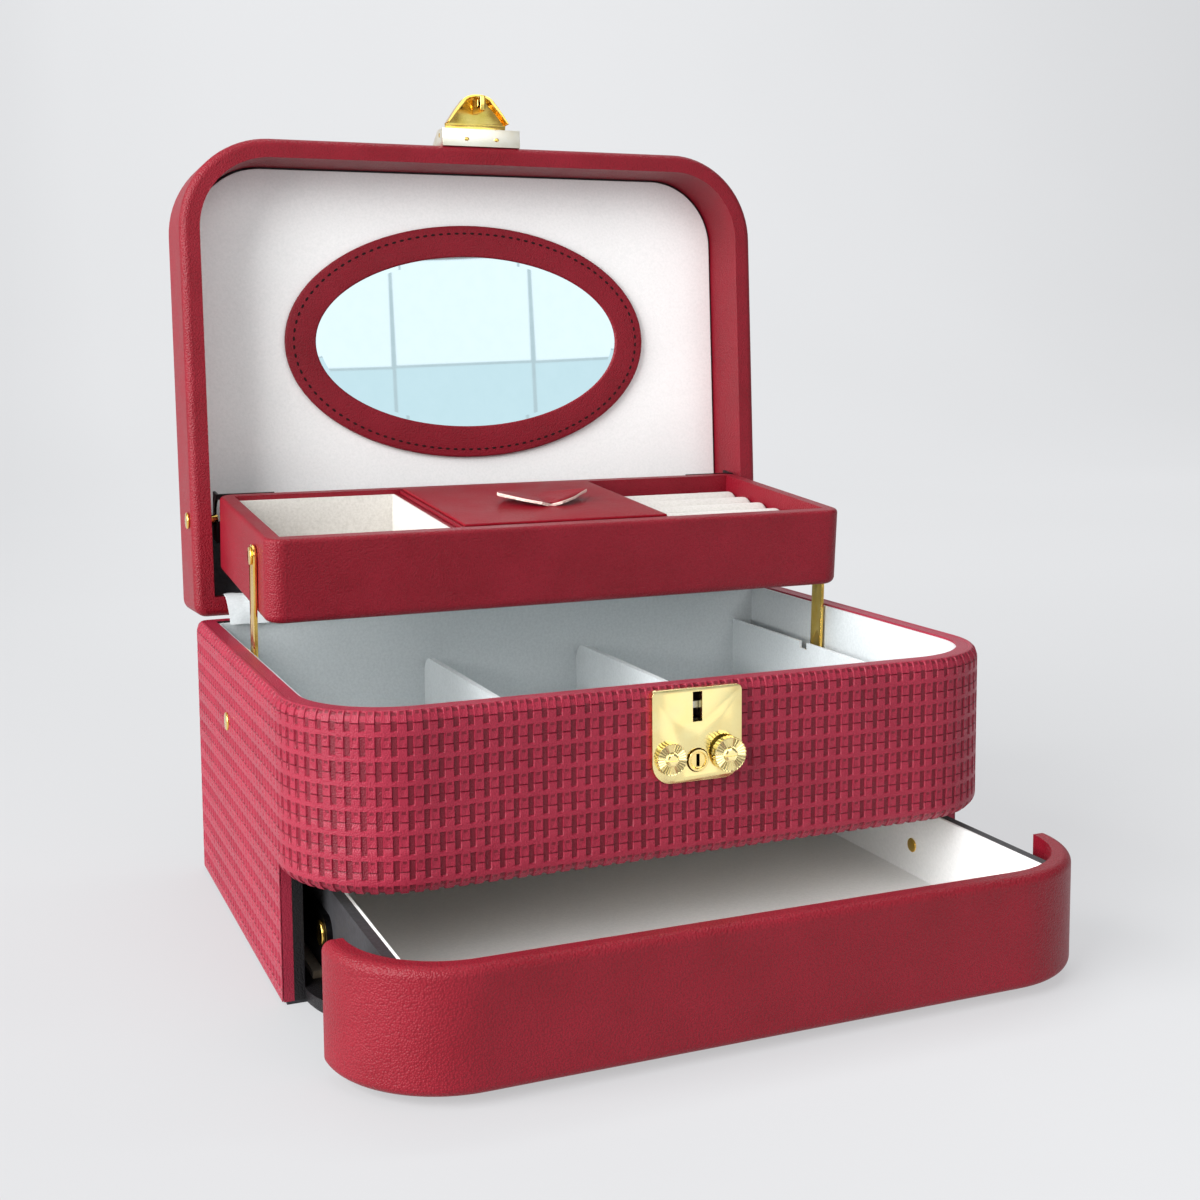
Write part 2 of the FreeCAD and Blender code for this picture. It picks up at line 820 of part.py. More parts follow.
def lid_gusset():
    """Dark panel that slopes from the lining's lower edge to the lid's back wall."""
    top_y = hinge_y - lining_lower_edge
    low_y = back_y - lid_wall
    low_z = lid_rim + gusset_lower_depth
    top_z = lid_lining_z
    x = lid_inner_x
    points = [
        V(-x, top_y, top_z),
        V(-x, low_y, low_z),
        V(-x, low_y, low_z + gusset_thickness),
        V(-x, top_y, top_z + gusset_thickness),
    ]
    return polygon(points).extrude(V(2 * x, 0, 0))


def oval(length, height, z0, z1):
    centre = V(0, hinge_y - mirror_centre, z0)
    curve = Part.Ellipse(centre, length / 2, height / 2)
    return Part.Face(Part.Wire([curve.toShape()])).extrude(V(0, 0, z1 - z0))


def mirror_glass():
    z0 = lid_lining_z - mirror_thickness
    length = mirror_sight_length + 2 * mirror_lip
    height = mirror_sight_height + 2 * mirror_lip
    return oval(length, height, z0, lid_lining_z)


def mirror_frame():
    z0 = lid_lining_z - mirror_frame_thickness
    shape = oval(mirror_frame_length, mirror_frame_height, z0, lid_lining_z)
    shape = shape.cut(oval(mirror_sight_length, mirror_sight_height, z0, lid_lining_z))
    return shape.cut(mirror_glass())


def lid_tray_pin():
    inside = ear_x0 - lid_pin_end_gap
    shank = rod_x(inside, half_width, lid_pin_y, lid_pin_z, pivot_radius)
    head = rod_x(half_width, half_width + outer_head, lid_pin_y, lid_pin_z, pivot_head_radius)
    return shank.fuse(head).removeSplitter()


def hasp_housing():
    """Folded sheet on the lid's front: a back, a strip below and a cheek at each end."""
    y0 = front_y - hasp_proud
    z1 = strip_z0 + hasp_height
    back = block(-hasp_half, hasp_half, front_y - hasp_sheet, front_y, strip_z0, z1)
    strip = block(-hasp_half, hasp_half, y0, front_y, strip_z0, strip_z0 + hasp_sheet)
    profile = [
        V(hasp_half - hasp_sheet, y0, strip_z0),
        V(hasp_half - hasp_sheet, front_y, strip_z0),
        V(hasp_half - hasp_sheet, front_y, z1),
        V(hasp_half - hasp_sheet, front_y - hasp_sheet, z1),
        V(hasp_half - hasp_sheet, y0, hasp_pin_z + hasp_knuckle_radius),
    ]
    cheek = polygon(profile).extrude(V(hasp_sheet, 0, 0))
    shape = back.fuse(strip).fuse(cheek).fuse(mirrored(cheek)).removeSplitter()
    return shape.cut(rod_x(-hasp_half, hasp_half, hasp_pin_y, hasp_pin_z, hasp_pin_radius))


def lid_pieces():
    pieces = {
        "lid_frame": lid_frame(),
        "lid_top_panel": lid_top_panel(),
        "lid_lining": lid_lining(),
        "lid_gusset": lid_gusset(),
        "mirror_frame": mirror_frame(),
        "mirror_glass": mirror_glass(),
        "lid_hinge_leaf": hinge_leaf(1, lid_rim, lid_rim + hinge_leaf_thickness),
        "lid_hinge_screws": Part.makeCompound(hinge_screws(lid_rim, lid_rim + screw_depth)),
        "hasp_housing": hasp_housing(),
        "hasp_pin": rod_x(-hasp_half, hasp_half, hasp_pin_y, hasp_pin_z, hasp_pin_radius),
    }
    pieces["lid_tray_pins"] = both(lid_tray_pin())
    return posed(pieces, lid_opened)


# Hasp flap, drawn hanging over the lock and then swung up
flap_half = hasp_half - hasp_sheet - hasp_side_gap
flap_y1 = hasp_pin_y - flap_offset
flap_y0 = flap_y1 - flap_sheet
flap_tip_z = hasp_pin_z - flap_length
flap_rim_z = hasp_pin_z - flap_rim_start


def flap_outline(inset, y, top):
    """Tapered tongue, square at the pin and rounded at its tip."""
    half = flap_half - inset
    tip = flap_tip_width / 2 - inset
    low = flap_tip_z + inset
    tip_rise = flap_tip_width / 4
    curves = [
        Part.LineSegment(V(-half, y, top), V(-half, y, flap_rim_z)),
        Part.LineSegment(V(-half, y, flap_rim_z), V(-tip, y, low + tip_rise)),
        Part.Arc(V(-tip, y, low + tip_rise), V(0, y, low), V(tip, y, low + tip_rise)),
        Part.LineSegment(V(tip, y, low + tip_rise), V(half, y, flap_rim_z)),
        Part.LineSegment(V(half, y, flap_rim_z), V(half, y, top)),
        Part.LineSegment(V(half, y, top), V(-half, y, top)),
    ]
    return Part.Face(wire_of(curves))


def hasp_flap():
    face_sheet = flap_outline(0, flap_y0, hasp_pin_z).extrude(V(0, flap_sheet, 0))
    dish = flap_outline(0, flap_y0, flap_rim_z + TOUCH).extrude(V(0, flap_rim_depth + flap_sheet, 0))
    hollow = flap_outline(flap_sheet, flap_y1, flap_rim_z + 2 * TOUCH).extrude(V(0, flap_rim_depth, 0))
    knuckle = rod_x(-flap_half, flap_half, hasp_pin_y, hasp_pin_z, hasp_knuckle_radius)
    web = block(-flap_half, flap_half, flap_y0, hasp_pin_y, hasp_pin_z - flap_sheet, hasp_pin_z)
    shape = face_sheet.fuse(dish.cut(hollow)).fuse(knuckle).fuse(web).removeSplitter()
    bore = hasp_pin_radius + running_clearance
    return shape.cut(rod_x(-flap_half, flap_half, hasp_pin_y, hasp_pin_z, bore))


def hasp_staple():
    half = staple_width / 2
    mid_z = hasp_pin_z - staple_from_pin
    tip_y = flap_y1 + staple_reach
    shape = block(-half, half, flap_y1, tip_y, mid_z - staple_height / 2, mid_z + staple_height / 2)
    eye_half = staple_eye / 2
    eye_z0 = slot_mid - eye_half
    eye_z1 = slot_mid + eye_half
    return shape.cut(block(-half, half, latch_y - eye_half, latch_y + eye_half, eye_z0, eye_z1))


def flap_pieces():
    def swung_up(shape):
        moved = shape.copy()
        moved.rotate(V(0, hasp_pin_y, hasp_pin_z), X_AXIS, -flap_raised_angle)
        return lid_opened(moved)

    return posed({"hasp_flap": hasp_flap(), "hasp_staple": hasp_staple()}, swung_up)


# Tray, drawn level with the lower edge of its back at the origin and then raised
well_half = tray_divider_half_spacing - tray_divider_thickness / 2
side_well_x = tray_divider_half_spacing + tray_divider_thickness / 2
well_front = tray_front + tray_wall
well_back = -tray_wall


def tray_frame():
    shape = rounded_block(-tray_half, tray_half, tray_front, 0, 0, tray_height, tray_corner_round)
    shape = round_edges(shape, tray_edge_round, lambda edge, p: abs(p.z - tray_height) < TOUCH)
    shape = round_edges(shape, tray_lower_round, lambda edge, p: abs(p.z) < TOUCH)
    shape = shape.cut(block(-tray_inner_x, tray_inner_x, well_front, well_back, 0, tray_height))
    return shape.cut(rod_x(-tray_half, tray_half, -stud_from_back, stud_height, pivot_radius))


def tray_divider():
    top = tray_height - tray_divider_drop
    return block(well_half, side_well_x, well_front, well_back, tray_well_floor, top)


def left_well_lining():
    top = tray_height - tray_divider_drop
    outer = block(-tray_inner_x, -side_well_x, well_front, well_back, tray_well_floor, top)
    inner = block(
        -tray_inner_x + tray_lining,
        -side_well_x - tray_lining,
        well_front + tray_lining,
        well_back - tray_lining,
        tray_well_floor + tray_lining,
        top,
    )
    return outer.cut(inner).cut(rod_x(-tray_half, -side_well_x, -stud_from_back, stud_height, pivot_radius))


def ring_rolls():
    """Row of round-topped cushions, side by side, that grip rings between them."""
    pitch = (tray_depth - 2 * tray_wall) / roll_count
    x0 = side_well_x + roll_end_gap
    x1 = tray_inner_x - roll_end_gap
    half = (pitch - roll_gap) / 2
    shoulder = roll_top - half
    rolls = []
    for index in range(roll_count):
        y = well_front + pitch * (index + 0.5)
        bend = half * math.sqrt(0.5)
        curves = [
            Part.LineSegment(V(x0, y - half, tray_well_floor), V(x0, y - half, shoulder)),
            Part.Arc(V(x0, y - half, shoulder), V(x0, y - bend, shoulder + bend), V(x0, y, roll_top)),
            Part.Arc(V(x0, y, roll_top), V(x0, y + bend, shoulder + bend), V(x0, y + half, shoulder)),
            Part.LineSegment(V(x0, y + half, shoulder), V(x0, y + half, tray_well_floor)),
            Part.LineSegment(V(x0, y + half, tray_well_floor), V(x0, y - half, tray_well_floor)),
        ]
        rolls.append(Part.Face(wire_of(curves)).extrude(V(x1 - x0, 0, 0)))
    return Part.makeCompound(rolls)


def tray_stud():
    head_x = lever_x1 + running_clearance
    shank = rod_x(tray_inner_x, head_x, -stud_from_back, stud_height, pivot_radius)
    head = rod_x(head_x, head_x + pivot_head, -stud_from_back, stud_height, pivot_head_radius)
    return shank.fuse(head).removeSplitter()


def tray_ear():
    """Angle bracket behind the tray: a flange on its back and an ear that the lid's pin runs in."""
    ear = block(ear_x0, ear_x1, 0, ear_length, ear_bottom, tray_height)
    flange = block(ear_x1 - ear_flange, ear_x1, 0, ear_thickness, ear_bottom, tray_height)
    shape = ear.fuse(flange).removeSplitter()
    for step in range(path_steps + 1):
        y, z = lid_pin_in_tray(step / path_steps)
        shape = shape.cut(rod_x(ear_x0 - slot_margin, ear_x1, y, z, pivot_radius + drive_play))
    return shape


def tray_pieces():
    pieces = {
        "tray_frame": tray_frame(),
        "tray_floor": block(
            -tray_inner_x, tray_inner_x, well_front, well_back, tray_floor_rise, tray_well_floor
        ),
        "left_well_lining": left_well_lining(),
        "ring_rolls": ring_rolls(),
    }
    pieces.update(pair("tray_divider", tray_divider()))
    pieces["tray_studs"] = both(tray_stud())
    pieces["tray_ears"] = both(tray_ear())
    return posed(pieces, tray_raised)


# Padded cover of the tray's middle well
cover_z0 = tray_height - tray_divider_drop + cover_seat_gap
cover_half = tray_divider_half_spacing - cover_gap / 2
cover_front = well_front + cover_gap
cover_back = well_back - cover_gap
cover_board_top = cover_z0 + cover_board
cover_pad_top = cover_board_top + cover_pad


def cover_frame():
    """Board on the dividers with a shallow plug that keeps it in the well."""
    board = block(-cover_half, cover_half, cover_front, cover_back, cover_z0, cover_board_top)
    plug_x = well_half - cover_plug_gap
    plug = block(
        -plug_x,
        plug_x,
        well_front + cover_plug_gap,
        well_back - cover_plug_gap,
        cover_z0 - cover_plug,
        cover_z0,
    )
    return board.fuse(plug)


def cover_cushion():
    return cushion_block(
        -cover_half,
        cover_half,
        cover_front,
        cover_back,
        cover_board_top,
        cover_pad_top - cover_crown,
        cover_crown,
        cover_draw_in,
    )


def lift_tab():
    """Two-lobed leather pull lying on the cushion, its point to the front."""
    z = cover_pad_top - tab_drop
    mid_y = (cover_front + cover_back) / 2
    right = [V(tab_width / 2 * x, mid_y + tab_length * y, z) for x, y in tab_outline]
    left = [V(-point.x, point.y, z) for point in reversed(right)]
    points = right + left[1:]
    curves = [Part.Arc(*points[start:start + 3]) for start in range(0, len(points) - 1, 2)]
    return Part.Face(wire_of(curves)).extrude(V(0, 0, tab_thickness)).cut(cover_cushion())


def cover_pieces():
    pieces = {
        "cover_frame": cover_frame(),
        "cover_cushion": cover_cushion(),
        "lift_tab": lift_tab(),
    }
    return posed(pieces, tray_raised)


# Levers, drawn at the raised pose
def lever():
    pivot = (pivot_y, pivot_z)
    stud = (stud_y, stud_z)
    shape = bar_x(lever_x0, lever_x1, pivot, stud, lever_half_width)
    shape = shape.fuse(bar_x(lever_x0, lever_x1, pivot, (drive_open_y, drive_end_z), lever_half_width))
    shape = shape.removeSplitter()
    bore = pivot_radius + running_clearance
    shape = shape.cut(rod_x(lever_x0, lever_x1, pivot_y, pivot_z, bore))
    shape = shape.cut(rod_x(lever_x0, lever_x1, stud_y, stud_z, bore))
    return shape.cut(rod_x(lever_x0, lever_x1, drive_open_y, drive_end_z, drive_pin_radius))


def drive_pin():
    inside = drawer_half_width + drive_pin_end_gap
    return rod_x(inside, lever_x1, drive_open_y, drive_end_z, drive_pin_radius)


# Drawer, drawn closed and then slid out
rivet_y = front_y + rivet_from_front
rear_rivet_y = drawer_back_inner - rear_rivet_from_back
arm_x1 = drawer_half_width + arm_thickness


def drawer_front():
    shape = front_shell(drawer_front_thickness, corner_y - drawer_end_gap, drawer_z0, drawer_z1)
    shape = round_edges(shape, drawer_front_round, outer_edge_at(drawer_z1))
    return round_edges(shape, drawer_front_round, outer_edge_at(drawer_z0))


def drawer_rivet(y):
    inside = drawer_inner_x - drawer_lining_wall
    shank = rod_x(inside, arm_x1, y, rivet_height, rivet_radius)
    head = rod_x(arm_x1, arm_x1 + rivet_head, y, rivet_height, rivet_head_radius)
    tail = rod_x(inside - rivet_tail, inside, y, rivet_height, rivet_tail_radius)
    return shank.fuse(head).fuse(tail).removeSplitter()


def drawer_rivets():
    return Part.makeCompound([drawer_rivet(rivet_y), drawer_rivet(rear_rivet_y)])


def without_rivet_holes(shape, x0, x1):
    for y in (rivet_y, rear_rivet_y):
        hole = rod_x(x0, x1, y, rivet_height, rivet_radius)
        shape = shape.cut(hole).cut(mirrored(hole))
    return shape


def drawer_side():
    shape = block(
        drawer_inner_x, drawer_half_width, front_y, drawer_back_y, drawer_low, drawer_side_top
    )
    shape = shape.common(plan_slab(drawer_front_thickness, drawer_back_y, drawer_low, drawer_side_top))
    return without_rivet_holes(shape, drawer_inner_x, drawer_half_width)


def drawer_well(inset, z0, z1):
    """Space inside the drawer's front, sides and back, drawn in by inset."""
    reach = drawer_inner_x - inset
    space = plan_slab(drawer_front_thickness + inset, drawer_back_inner - inset, z0, z1)
    return space.common(block(-reach, reach, front_y, drawer_back_inner - inset, z0, z1))


def drawer_lining():
    shape = drawer_well(0, drawer_base_top, drawer_side_top)
    floor = drawer_base_top + drawer_lining_floor
    shape = shape.cut(drawer_well(drawer_lining_wall, floor, drawer_side_top))
    return without_rivet_holes(shape, drawer_inner_x - drawer_lining_wall, drawer_inner_x)


def drawer_arm():
    """Bar riveted along the drawer's side, with the upright slot that the lever's pin pushes."""
    x0 = drawer_half_width
    slot_half = drive_pin_radius + drive_play
    bar = bar_x(x0, arm_x1, (rivet_y, rivet_height), (rear_rivet_y, rivet_height), arm_half_width)
    half = slot_half + slot_margin
    apron_z = drive_low_z - slot_half - drive_pin_radius
    apron = block(x0, arm_x1, drive_closed_y - half, drive_closed_y + half, apron_z, rivet_height)
    slot = bar_x(x0, arm_x1, (drive_closed_y, drive_low_z), (drive_closed_y, drive_end_z), slot_half)
    shape = bar.fuse(apron).removeSplitter().cut(slot)
    for y in (rivet_y, rear_rivet_y):
        shape = shape.cut(rod_x(x0, arm_x1, y, rivet_height, rivet_radius))
    return shape


def drawer_pieces():
    pieces = {
        "drawer_front": drawer_front(),
        "drawer_back": block(
            -drawer_inner_x, drawer_inner_x, drawer_back_inner, drawer_back_y, drawer_low, drawer_side_top
        ),
        "drawer_base": drawer_well(0, drawer_low, drawer_base_top),
        "drawer_lining": drawer_lining(),
    }
    pieces.update(pair("drawer_side", drawer_side()))
    pieces["drawer_arms"] = both(drawer_arm())
    pieces["drawer_rivets"] = both(drawer_rivets())
    return posed(pieces, drawer_opened)


def all_pieces():
    nodes = {}
    nodes.update(base_pieces())
    nodes.update(lock_pieces())
    nodes.update(lid_pieces())
    nodes.update(flap_pieces())
    nodes.update(tray_pieces())
    nodes.update(cover_pieces())
    nodes.update(pair("lever", lever()))
    nodes.update(pair("drive_pin", drive_pin()))
    nodes.update(drawer_pieces())
    return nodes


os.makedirs("parts", exist_ok=True)
for node, solid in all_pieces().items():
    solid.exportStep("parts/" + node + ".step")

# Numbers that the joints of this pose need
print("hinge axis", round(hinge_y, 3), round(hinge_z, 3))
print("lever pivot", round(pivot_y, 4), round(pivot_z, 4), "turn", round(lever_turn, 5))
print("tray stud", round(stud_y, 4), round(stud_z, 4))
print("drive pin height, low and end", round(drive_low_z, 3), round(drive_end_z, 3))
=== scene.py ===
# %% [markdown]
# # A leather jewellery case, dressed step by step
# The CAD frame gives every piece its size and place. This lesson gives the case its looks:
# embossed and smooth red leather, a pale flocked lining, a stitched oval mirror frame and
# polished brass fittings. Each step first says what the piece is on the real case, then how it is
# made here and why.

# %% Load the frame
import json
import math
import bpy
from mathutils import Matrix, Vector


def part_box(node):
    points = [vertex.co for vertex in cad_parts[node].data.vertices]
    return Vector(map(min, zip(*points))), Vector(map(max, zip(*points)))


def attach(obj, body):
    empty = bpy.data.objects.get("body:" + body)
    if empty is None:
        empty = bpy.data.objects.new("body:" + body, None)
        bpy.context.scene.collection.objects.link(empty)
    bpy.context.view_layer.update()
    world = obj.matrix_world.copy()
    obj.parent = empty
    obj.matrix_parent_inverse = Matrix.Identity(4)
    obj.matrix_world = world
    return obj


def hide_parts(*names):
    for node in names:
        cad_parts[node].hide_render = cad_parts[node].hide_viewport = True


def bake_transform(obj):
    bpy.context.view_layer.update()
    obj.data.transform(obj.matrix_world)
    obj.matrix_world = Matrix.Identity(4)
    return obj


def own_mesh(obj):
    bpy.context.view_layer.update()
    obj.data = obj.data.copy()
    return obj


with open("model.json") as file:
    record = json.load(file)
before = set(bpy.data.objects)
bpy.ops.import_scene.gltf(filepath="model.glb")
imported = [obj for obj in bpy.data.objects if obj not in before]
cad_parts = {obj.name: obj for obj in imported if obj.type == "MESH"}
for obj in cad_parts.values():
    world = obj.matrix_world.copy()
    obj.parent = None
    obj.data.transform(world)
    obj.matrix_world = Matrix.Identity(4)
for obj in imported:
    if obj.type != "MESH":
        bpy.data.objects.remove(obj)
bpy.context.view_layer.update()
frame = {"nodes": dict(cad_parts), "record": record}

# %% [markdown]
# ## Camera
# The case is seen from its front left corner, a little above the rim. The position, aim and lens
# follow from the straight edges of the case. A small lens shift frames it, because the view was
# cropped off centre.

# %% Camera
mm = 0.001
camera_data = bpy.data.cameras.new("viewpoint")
camera_data.lens = 48.95
camera_data.sensor_width = 36
camera_data.shift_x = -0.0009
camera_data.shift_y = -0.0753
camera = bpy.data.objects.new("viewpoint", camera_data)
bpy.context.scene.collection.objects.link(camera)
eye = (-0.2327, -0.5731, 0.2149)
heading, dip, roll = -22.83, 5.91, -0.395


def turned(degrees, axis):
    return Matrix.Rotation(math.radians(degrees), 4, axis)


aim = turned(heading, "Z") @ turned(90 - dip, "X")
camera.matrix_world = Matrix.Translation(eye) @ aim @ turned(roll, "Z")
bpy.context.scene.camera = camera
print("camera at", [round(v, 3) for v in camera.matrix_world.translation])

# %% [markdown]
# ## Working helpers
# Operators act on whatever is selected, so each piece starts with nothing selected. Modifiers are
# applied as soon as they have done their work, and a finished piece keeps its place in its mesh,
# with its object at the origin. That way a pattern on object coordinates stays where it is.

# %% Selection helpers
def clear_selection():
    if bpy.context.object and bpy.context.object.mode != "OBJECT":
        bpy.ops.object.mode_set(mode="OBJECT")
    bpy.ops.object.select_all(action="DESELECT")


def pick(piece):
    """Make one piece the only selected and active one."""
    clear_selection()
    piece.select_set(True)
    bpy.context.view_layer.objects.active = piece


def named(name):
    """Name the object that an operator has just added."""
    piece = bpy.context.object
    piece.name = name
    piece.data.name = name
    return piece


def settle(piece):
    """Put the object's place, turn and size into its mesh."""
    pick(piece)
    bpy.ops.object.transform_apply(location=True, rotation=True, scale=True)


print("selection helpers ready")

# %% Editing helpers
def modify(piece, kind, **settings):
    """Add a modifier with these settings and apply it at once."""
    pick(piece)
    modifier = piece.modifiers.new(kind.lower(), kind)
    for key, value in settings.items():
        setattr(modifier, key, value)
    bpy.ops.object.modifier_apply(modifier=modifier.name)


def choose(piece, mode, test):
    """Enter edit mode with only those vertices, edges or faces selected that pass the test."""
    pick(piece)
    bpy.ops.object.mode_set(mode="EDIT")
    bpy.ops.mesh.select_mode(type=mode)
    bpy.ops.mesh.select_all(action="DESELECT")
    bpy.ops.object.mode_set(mode="OBJECT")
    mesh = piece.data
    if mode == "VERT":
        items = [(v, v.co) for v in mesh.vertices]
    elif mode == "EDGE":
        ends = [[mesh.vertices[i].co for i in e.vertices] for e in mesh.edges]
        items = [(e, (a + b) / 2) for e, (a, b) in zip(mesh.edges, ends)]
    else:
        items = [(f, f.center) for f in mesh.polygons]
    for item, place in items:
        item.select = bool(test(item, place))
    bpy.ops.object.mode_set(mode="EDIT")


def done_editing():
    bpy.ops.object.mode_set(mode="OBJECT")


def everything(item, place):
    return True


def outward(piece):
    """Merge doubled points and turn every face outwards."""
    pick(piece)
    bpy.ops.object.mode_set(mode="EDIT")
    bpy.ops.mesh.select_all(action="SELECT")
    bpy.ops.mesh.remove_doubles(threshold=0.000005)
    bpy.ops.mesh.normals_make_consistent(inside=False)
    done_editing()


print("editing helpers ready")

# %% Finishing helpers
def soften(piece, angle=35):
    pick(piece)
    bpy.ops.object.shade_smooth_by_angle(angle=math.radians(angle))


def finish(piece, body, material=None, angle=35):
    """Smooth, colour and hang a piece on its CAD body."""
    soften(piece, angle)
    if material:
        piece.data.materials.clear()
        piece.data.materials.append(material)
    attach(piece, body)
    print(piece.name, len(piece.data.polygons), "faces, on", body)
    return piece


print("finishing helpers ready")

# %% [markdown]
# ## Poses of the lid and the tray
# The lid stands open by 93 degrees and the tray leans back by 4.7 degrees. Pieces on them are
# drawn level and square, which is easier to read, and are then turned into place about the same
# lines as the CAD pieces.

# %% Poses
lid_angle = 93
tray_lean = 4.7
hinge = Vector((0, 98.5, 102.75)) * mm
tray_back = Vector((0, 106.7, 121.8)) * mm
lid_front = Vector((0, -98, 140.5)) * mm
lid_pose = Matrix.Translation(hinge) @ turned(-lid_angle, "X") @ Matrix.Translation(-hinge)
tray_pose = Matrix.Translation(tray_back) @ turned(tray_lean, "X")


def posed(piece, pose):
    piece.matrix_world = pose
    settle(piece)
    return piece


print("lid top edge when open:", [round(v, 4) for v in lid_pose @ lid_front])

# %% [markdown]
# ## Leather
# The real leather is a deep red with a fine pebbled grain and a satin surface. The grain is a
# Voronoi pattern with pebbles of half to two thirds of a millimetre, and its creases are a little
# darker and lower. A slow noise varies the tint, as dye does on a hide. The same recipe with
# other colours gives the embossed leather, its pressed parts and the pad. The pressed parts are
# darker: partly their own pressed tone and partly painted shade for their recesses.

# %% Node helpers
def new_material(name, **sockets):
    material = bpy.data.materials.new(name)
    material.use_nodes = True
    shader = material.node_tree.nodes["Principled BSDF"]
    for key, value in sockets.items():
        shader.inputs[key.replace("_", " ")].default_value = value
    return material, material.node_tree, shader


def add_node(tree, kind, **settings):
    node = tree.nodes.new(kind)
    for key, value in settings.items():
        if key in node.inputs:
            node.inputs[key].default_value = value
        else:
            setattr(node, key, value)
    return node


def ramp(tree, source, stops):
    """Colour ramp on a value, from (position, colour) stops."""
    node = add_node(tree, "ShaderNodeValToRGB")
    elements = node.color_ramp.elements
    while len(elements) < len(stops):
        elements.new(0.5)
    for element, (position, colour) in zip(elements, stops):
        element.position = position
        element.color = (*colour, 1)
    tree.links.new(source, node.inputs["Fac"])
    return node.outputs["Color"]


def grey(value):
    return (value, value, value)


def blend_colours(tree, way, factor, first, second):
    node = add_node(tree, "ShaderNodeMix", data_type="RGBA", blend_type=way)
    node.inputs["Factor"].default_value = factor
    tree.links.new(first, node.inputs[6])
    tree.links.new(second, node.inputs[7])
    return node.outputs[2]


def pattern(tree, kind, **settings):
    """Texture on object coordinates."""
    texture = add_node(tree, kind, **settings)
    place = add_node(tree, "ShaderNodeTexCoord").outputs["Object"]
    tree.links.new(place, texture.inputs["Vector"])
    return texture


def emboss(tree, shader, height, strength, distance, invert=False):
    """Bump from a height, with its distance in metres."""
    bump = add_node(tree, "ShaderNodeBump", Strength=strength, Distance=distance, invert=invert)
    tree.links.new(height, bump.inputs["Height"])
    tree.links.new(bump.outputs["Normal"], shader.inputs["Normal"])


print("node helpers ready")

# %% Leather
def leather(name, dark, light, crease=0.86, grain=1500, gloss=(0.35, 0.45), relief=0.45,
            shine=0.28):
    material, tree, shader = new_material(name, Specular_IOR_Level=shine)
    tint = pattern(tree, "ShaderNodeTexNoise", Scale=40, Detail=2, Roughness=0.6)
    pebbles = pattern(tree, "ShaderNodeTexVoronoi", feature="F1", Scale=grain)
    hide = ramp(tree, tint.outputs["Fac"], [(0.3, dark), (0.7, light)])
    creases = ramp(tree, pebbles.outputs["Distance"], [(0.45, grey(1.0)), (0.75, grey(crease))])
    colour = blend_colours(tree, "MULTIPLY", 1.0, hide, creases)
    tree.links.new(colour, shader.inputs["Base Color"])
    satin = ramp(tree, tint.outputs["Fac"], [(0.3, grey(gloss[0])), (0.7, grey(gloss[1]))])
    tree.links.new(satin, shader.inputs["Roughness"])
    emboss(tree, shader, pebbles.outputs["Distance"], relief, 0.0004, invert=True)
    return material


smooth_leather = leather("smooth red leather", (0.200, 0.003, 0.0115), (0.238, 0.005, 0.0165),
                         gloss=(0.37, 0.47), relief=0.6)
pad_leather = leather("red leather over the pad", (0.215, 0.004, 0.011), (0.255, 0.006, 0.016),
                      shine=0.05)
raised_leather = leather("embossed red leather", (0.285, 0.015, 0.038), (0.335, 0.020, 0.047),
                         grain=2000)
# Pressed leather: darker, partly its own pressed tone and partly painted shade in the recesses.
pressed_shaded_leather = leather("pressed red leather, partly painted shade", (0.150, 0.007, 0.018), (0.185, 0.010, 0.024),
                          grain=2000, gloss=(0.34, 0.44))
print("leathers:", smooth_leather.name, "/", raised_leather.name, "/", pressed_shaded_leather.name)

# %% [markdown]
# ## Lining, cloth and board
# The inside is lined with a warm white flocked paper. It is matt, with a fine fibre mottling and
# a soft sheen at grazing angles. The same paper has three tints: a darker, cooler copy in the
# base is painted shade, and a darker, creamier copy in the tray is partly cream and partly
# painted shade. The drawer's bay and sides are covered with thin black coated cloth.

# %% Lining, cloth and board
def fibrous(name, dark, light, scale=900, rough=0.92, relief=0.22, sheen=0.25):
    material, tree, shader = new_material(name, Roughness=rough, Sheen_Weight=sheen,
                                          Sheen_Roughness=0.6, Specular_IOR_Level=0.25)
    fibres = pattern(tree, "ShaderNodeTexNoise", Scale=scale, Detail=2, Roughness=0.7)
    clouds = pattern(tree, "ShaderNodeTexNoise", Scale=18, Detail=1)
    base = ramp(tree, fibres.outputs["Fac"], [(0.3, dark), (0.65, light)])
    wash = ramp(tree, clouds.outputs["Fac"], [(0.25, grey(0.93)), (0.7, grey(1.0))])
    colour = blend_colours(tree, "MULTIPLY", 1.0, base, wash)
    tree.links.new(colour, shader.inputs["Base Color"])
    emboss(tree, shader, fibres.outputs["Fac"], relief, 0.0003)
    return material


pale_lining = fibrous("warm white lining", (0.89, 0.90, 0.89), (0.955, 0.96, 0.95))
# Darker, cooler copy: painted shade for the lining inside the base.
cool_shaded_lining = fibrous("cool grey lining, painted shade", (0.62, 0.66, 0.67), (0.70, 0.74, 0.75))
# Darker, creamier copy: partly the cream of the paper, partly painted shade.
cream_shaded_lining = fibrous("cream lining, partly painted shade", (0.60, 0.575, 0.535), (0.70, 0.675, 0.635))
black_cloth = fibrous("black coated cloth", (0.012, 0.012, 0.014), (0.028, 0.028, 0.032),
                      scale=700, rough=0.55, sheen=0.05)
plain_board = fibrous("plain fibreboard", (0.24, 0.18, 0.12), (0.34, 0.27, 0.19), scale=500)
cut_leather = fibrous("pale cut edge of leather", (0.78, 0.56, 0.48), (0.90, 0.72, 0.64),
                      scale=1600, sheen=0.1)
print("linings:", pale_lining.name, "/", black_cloth.name)
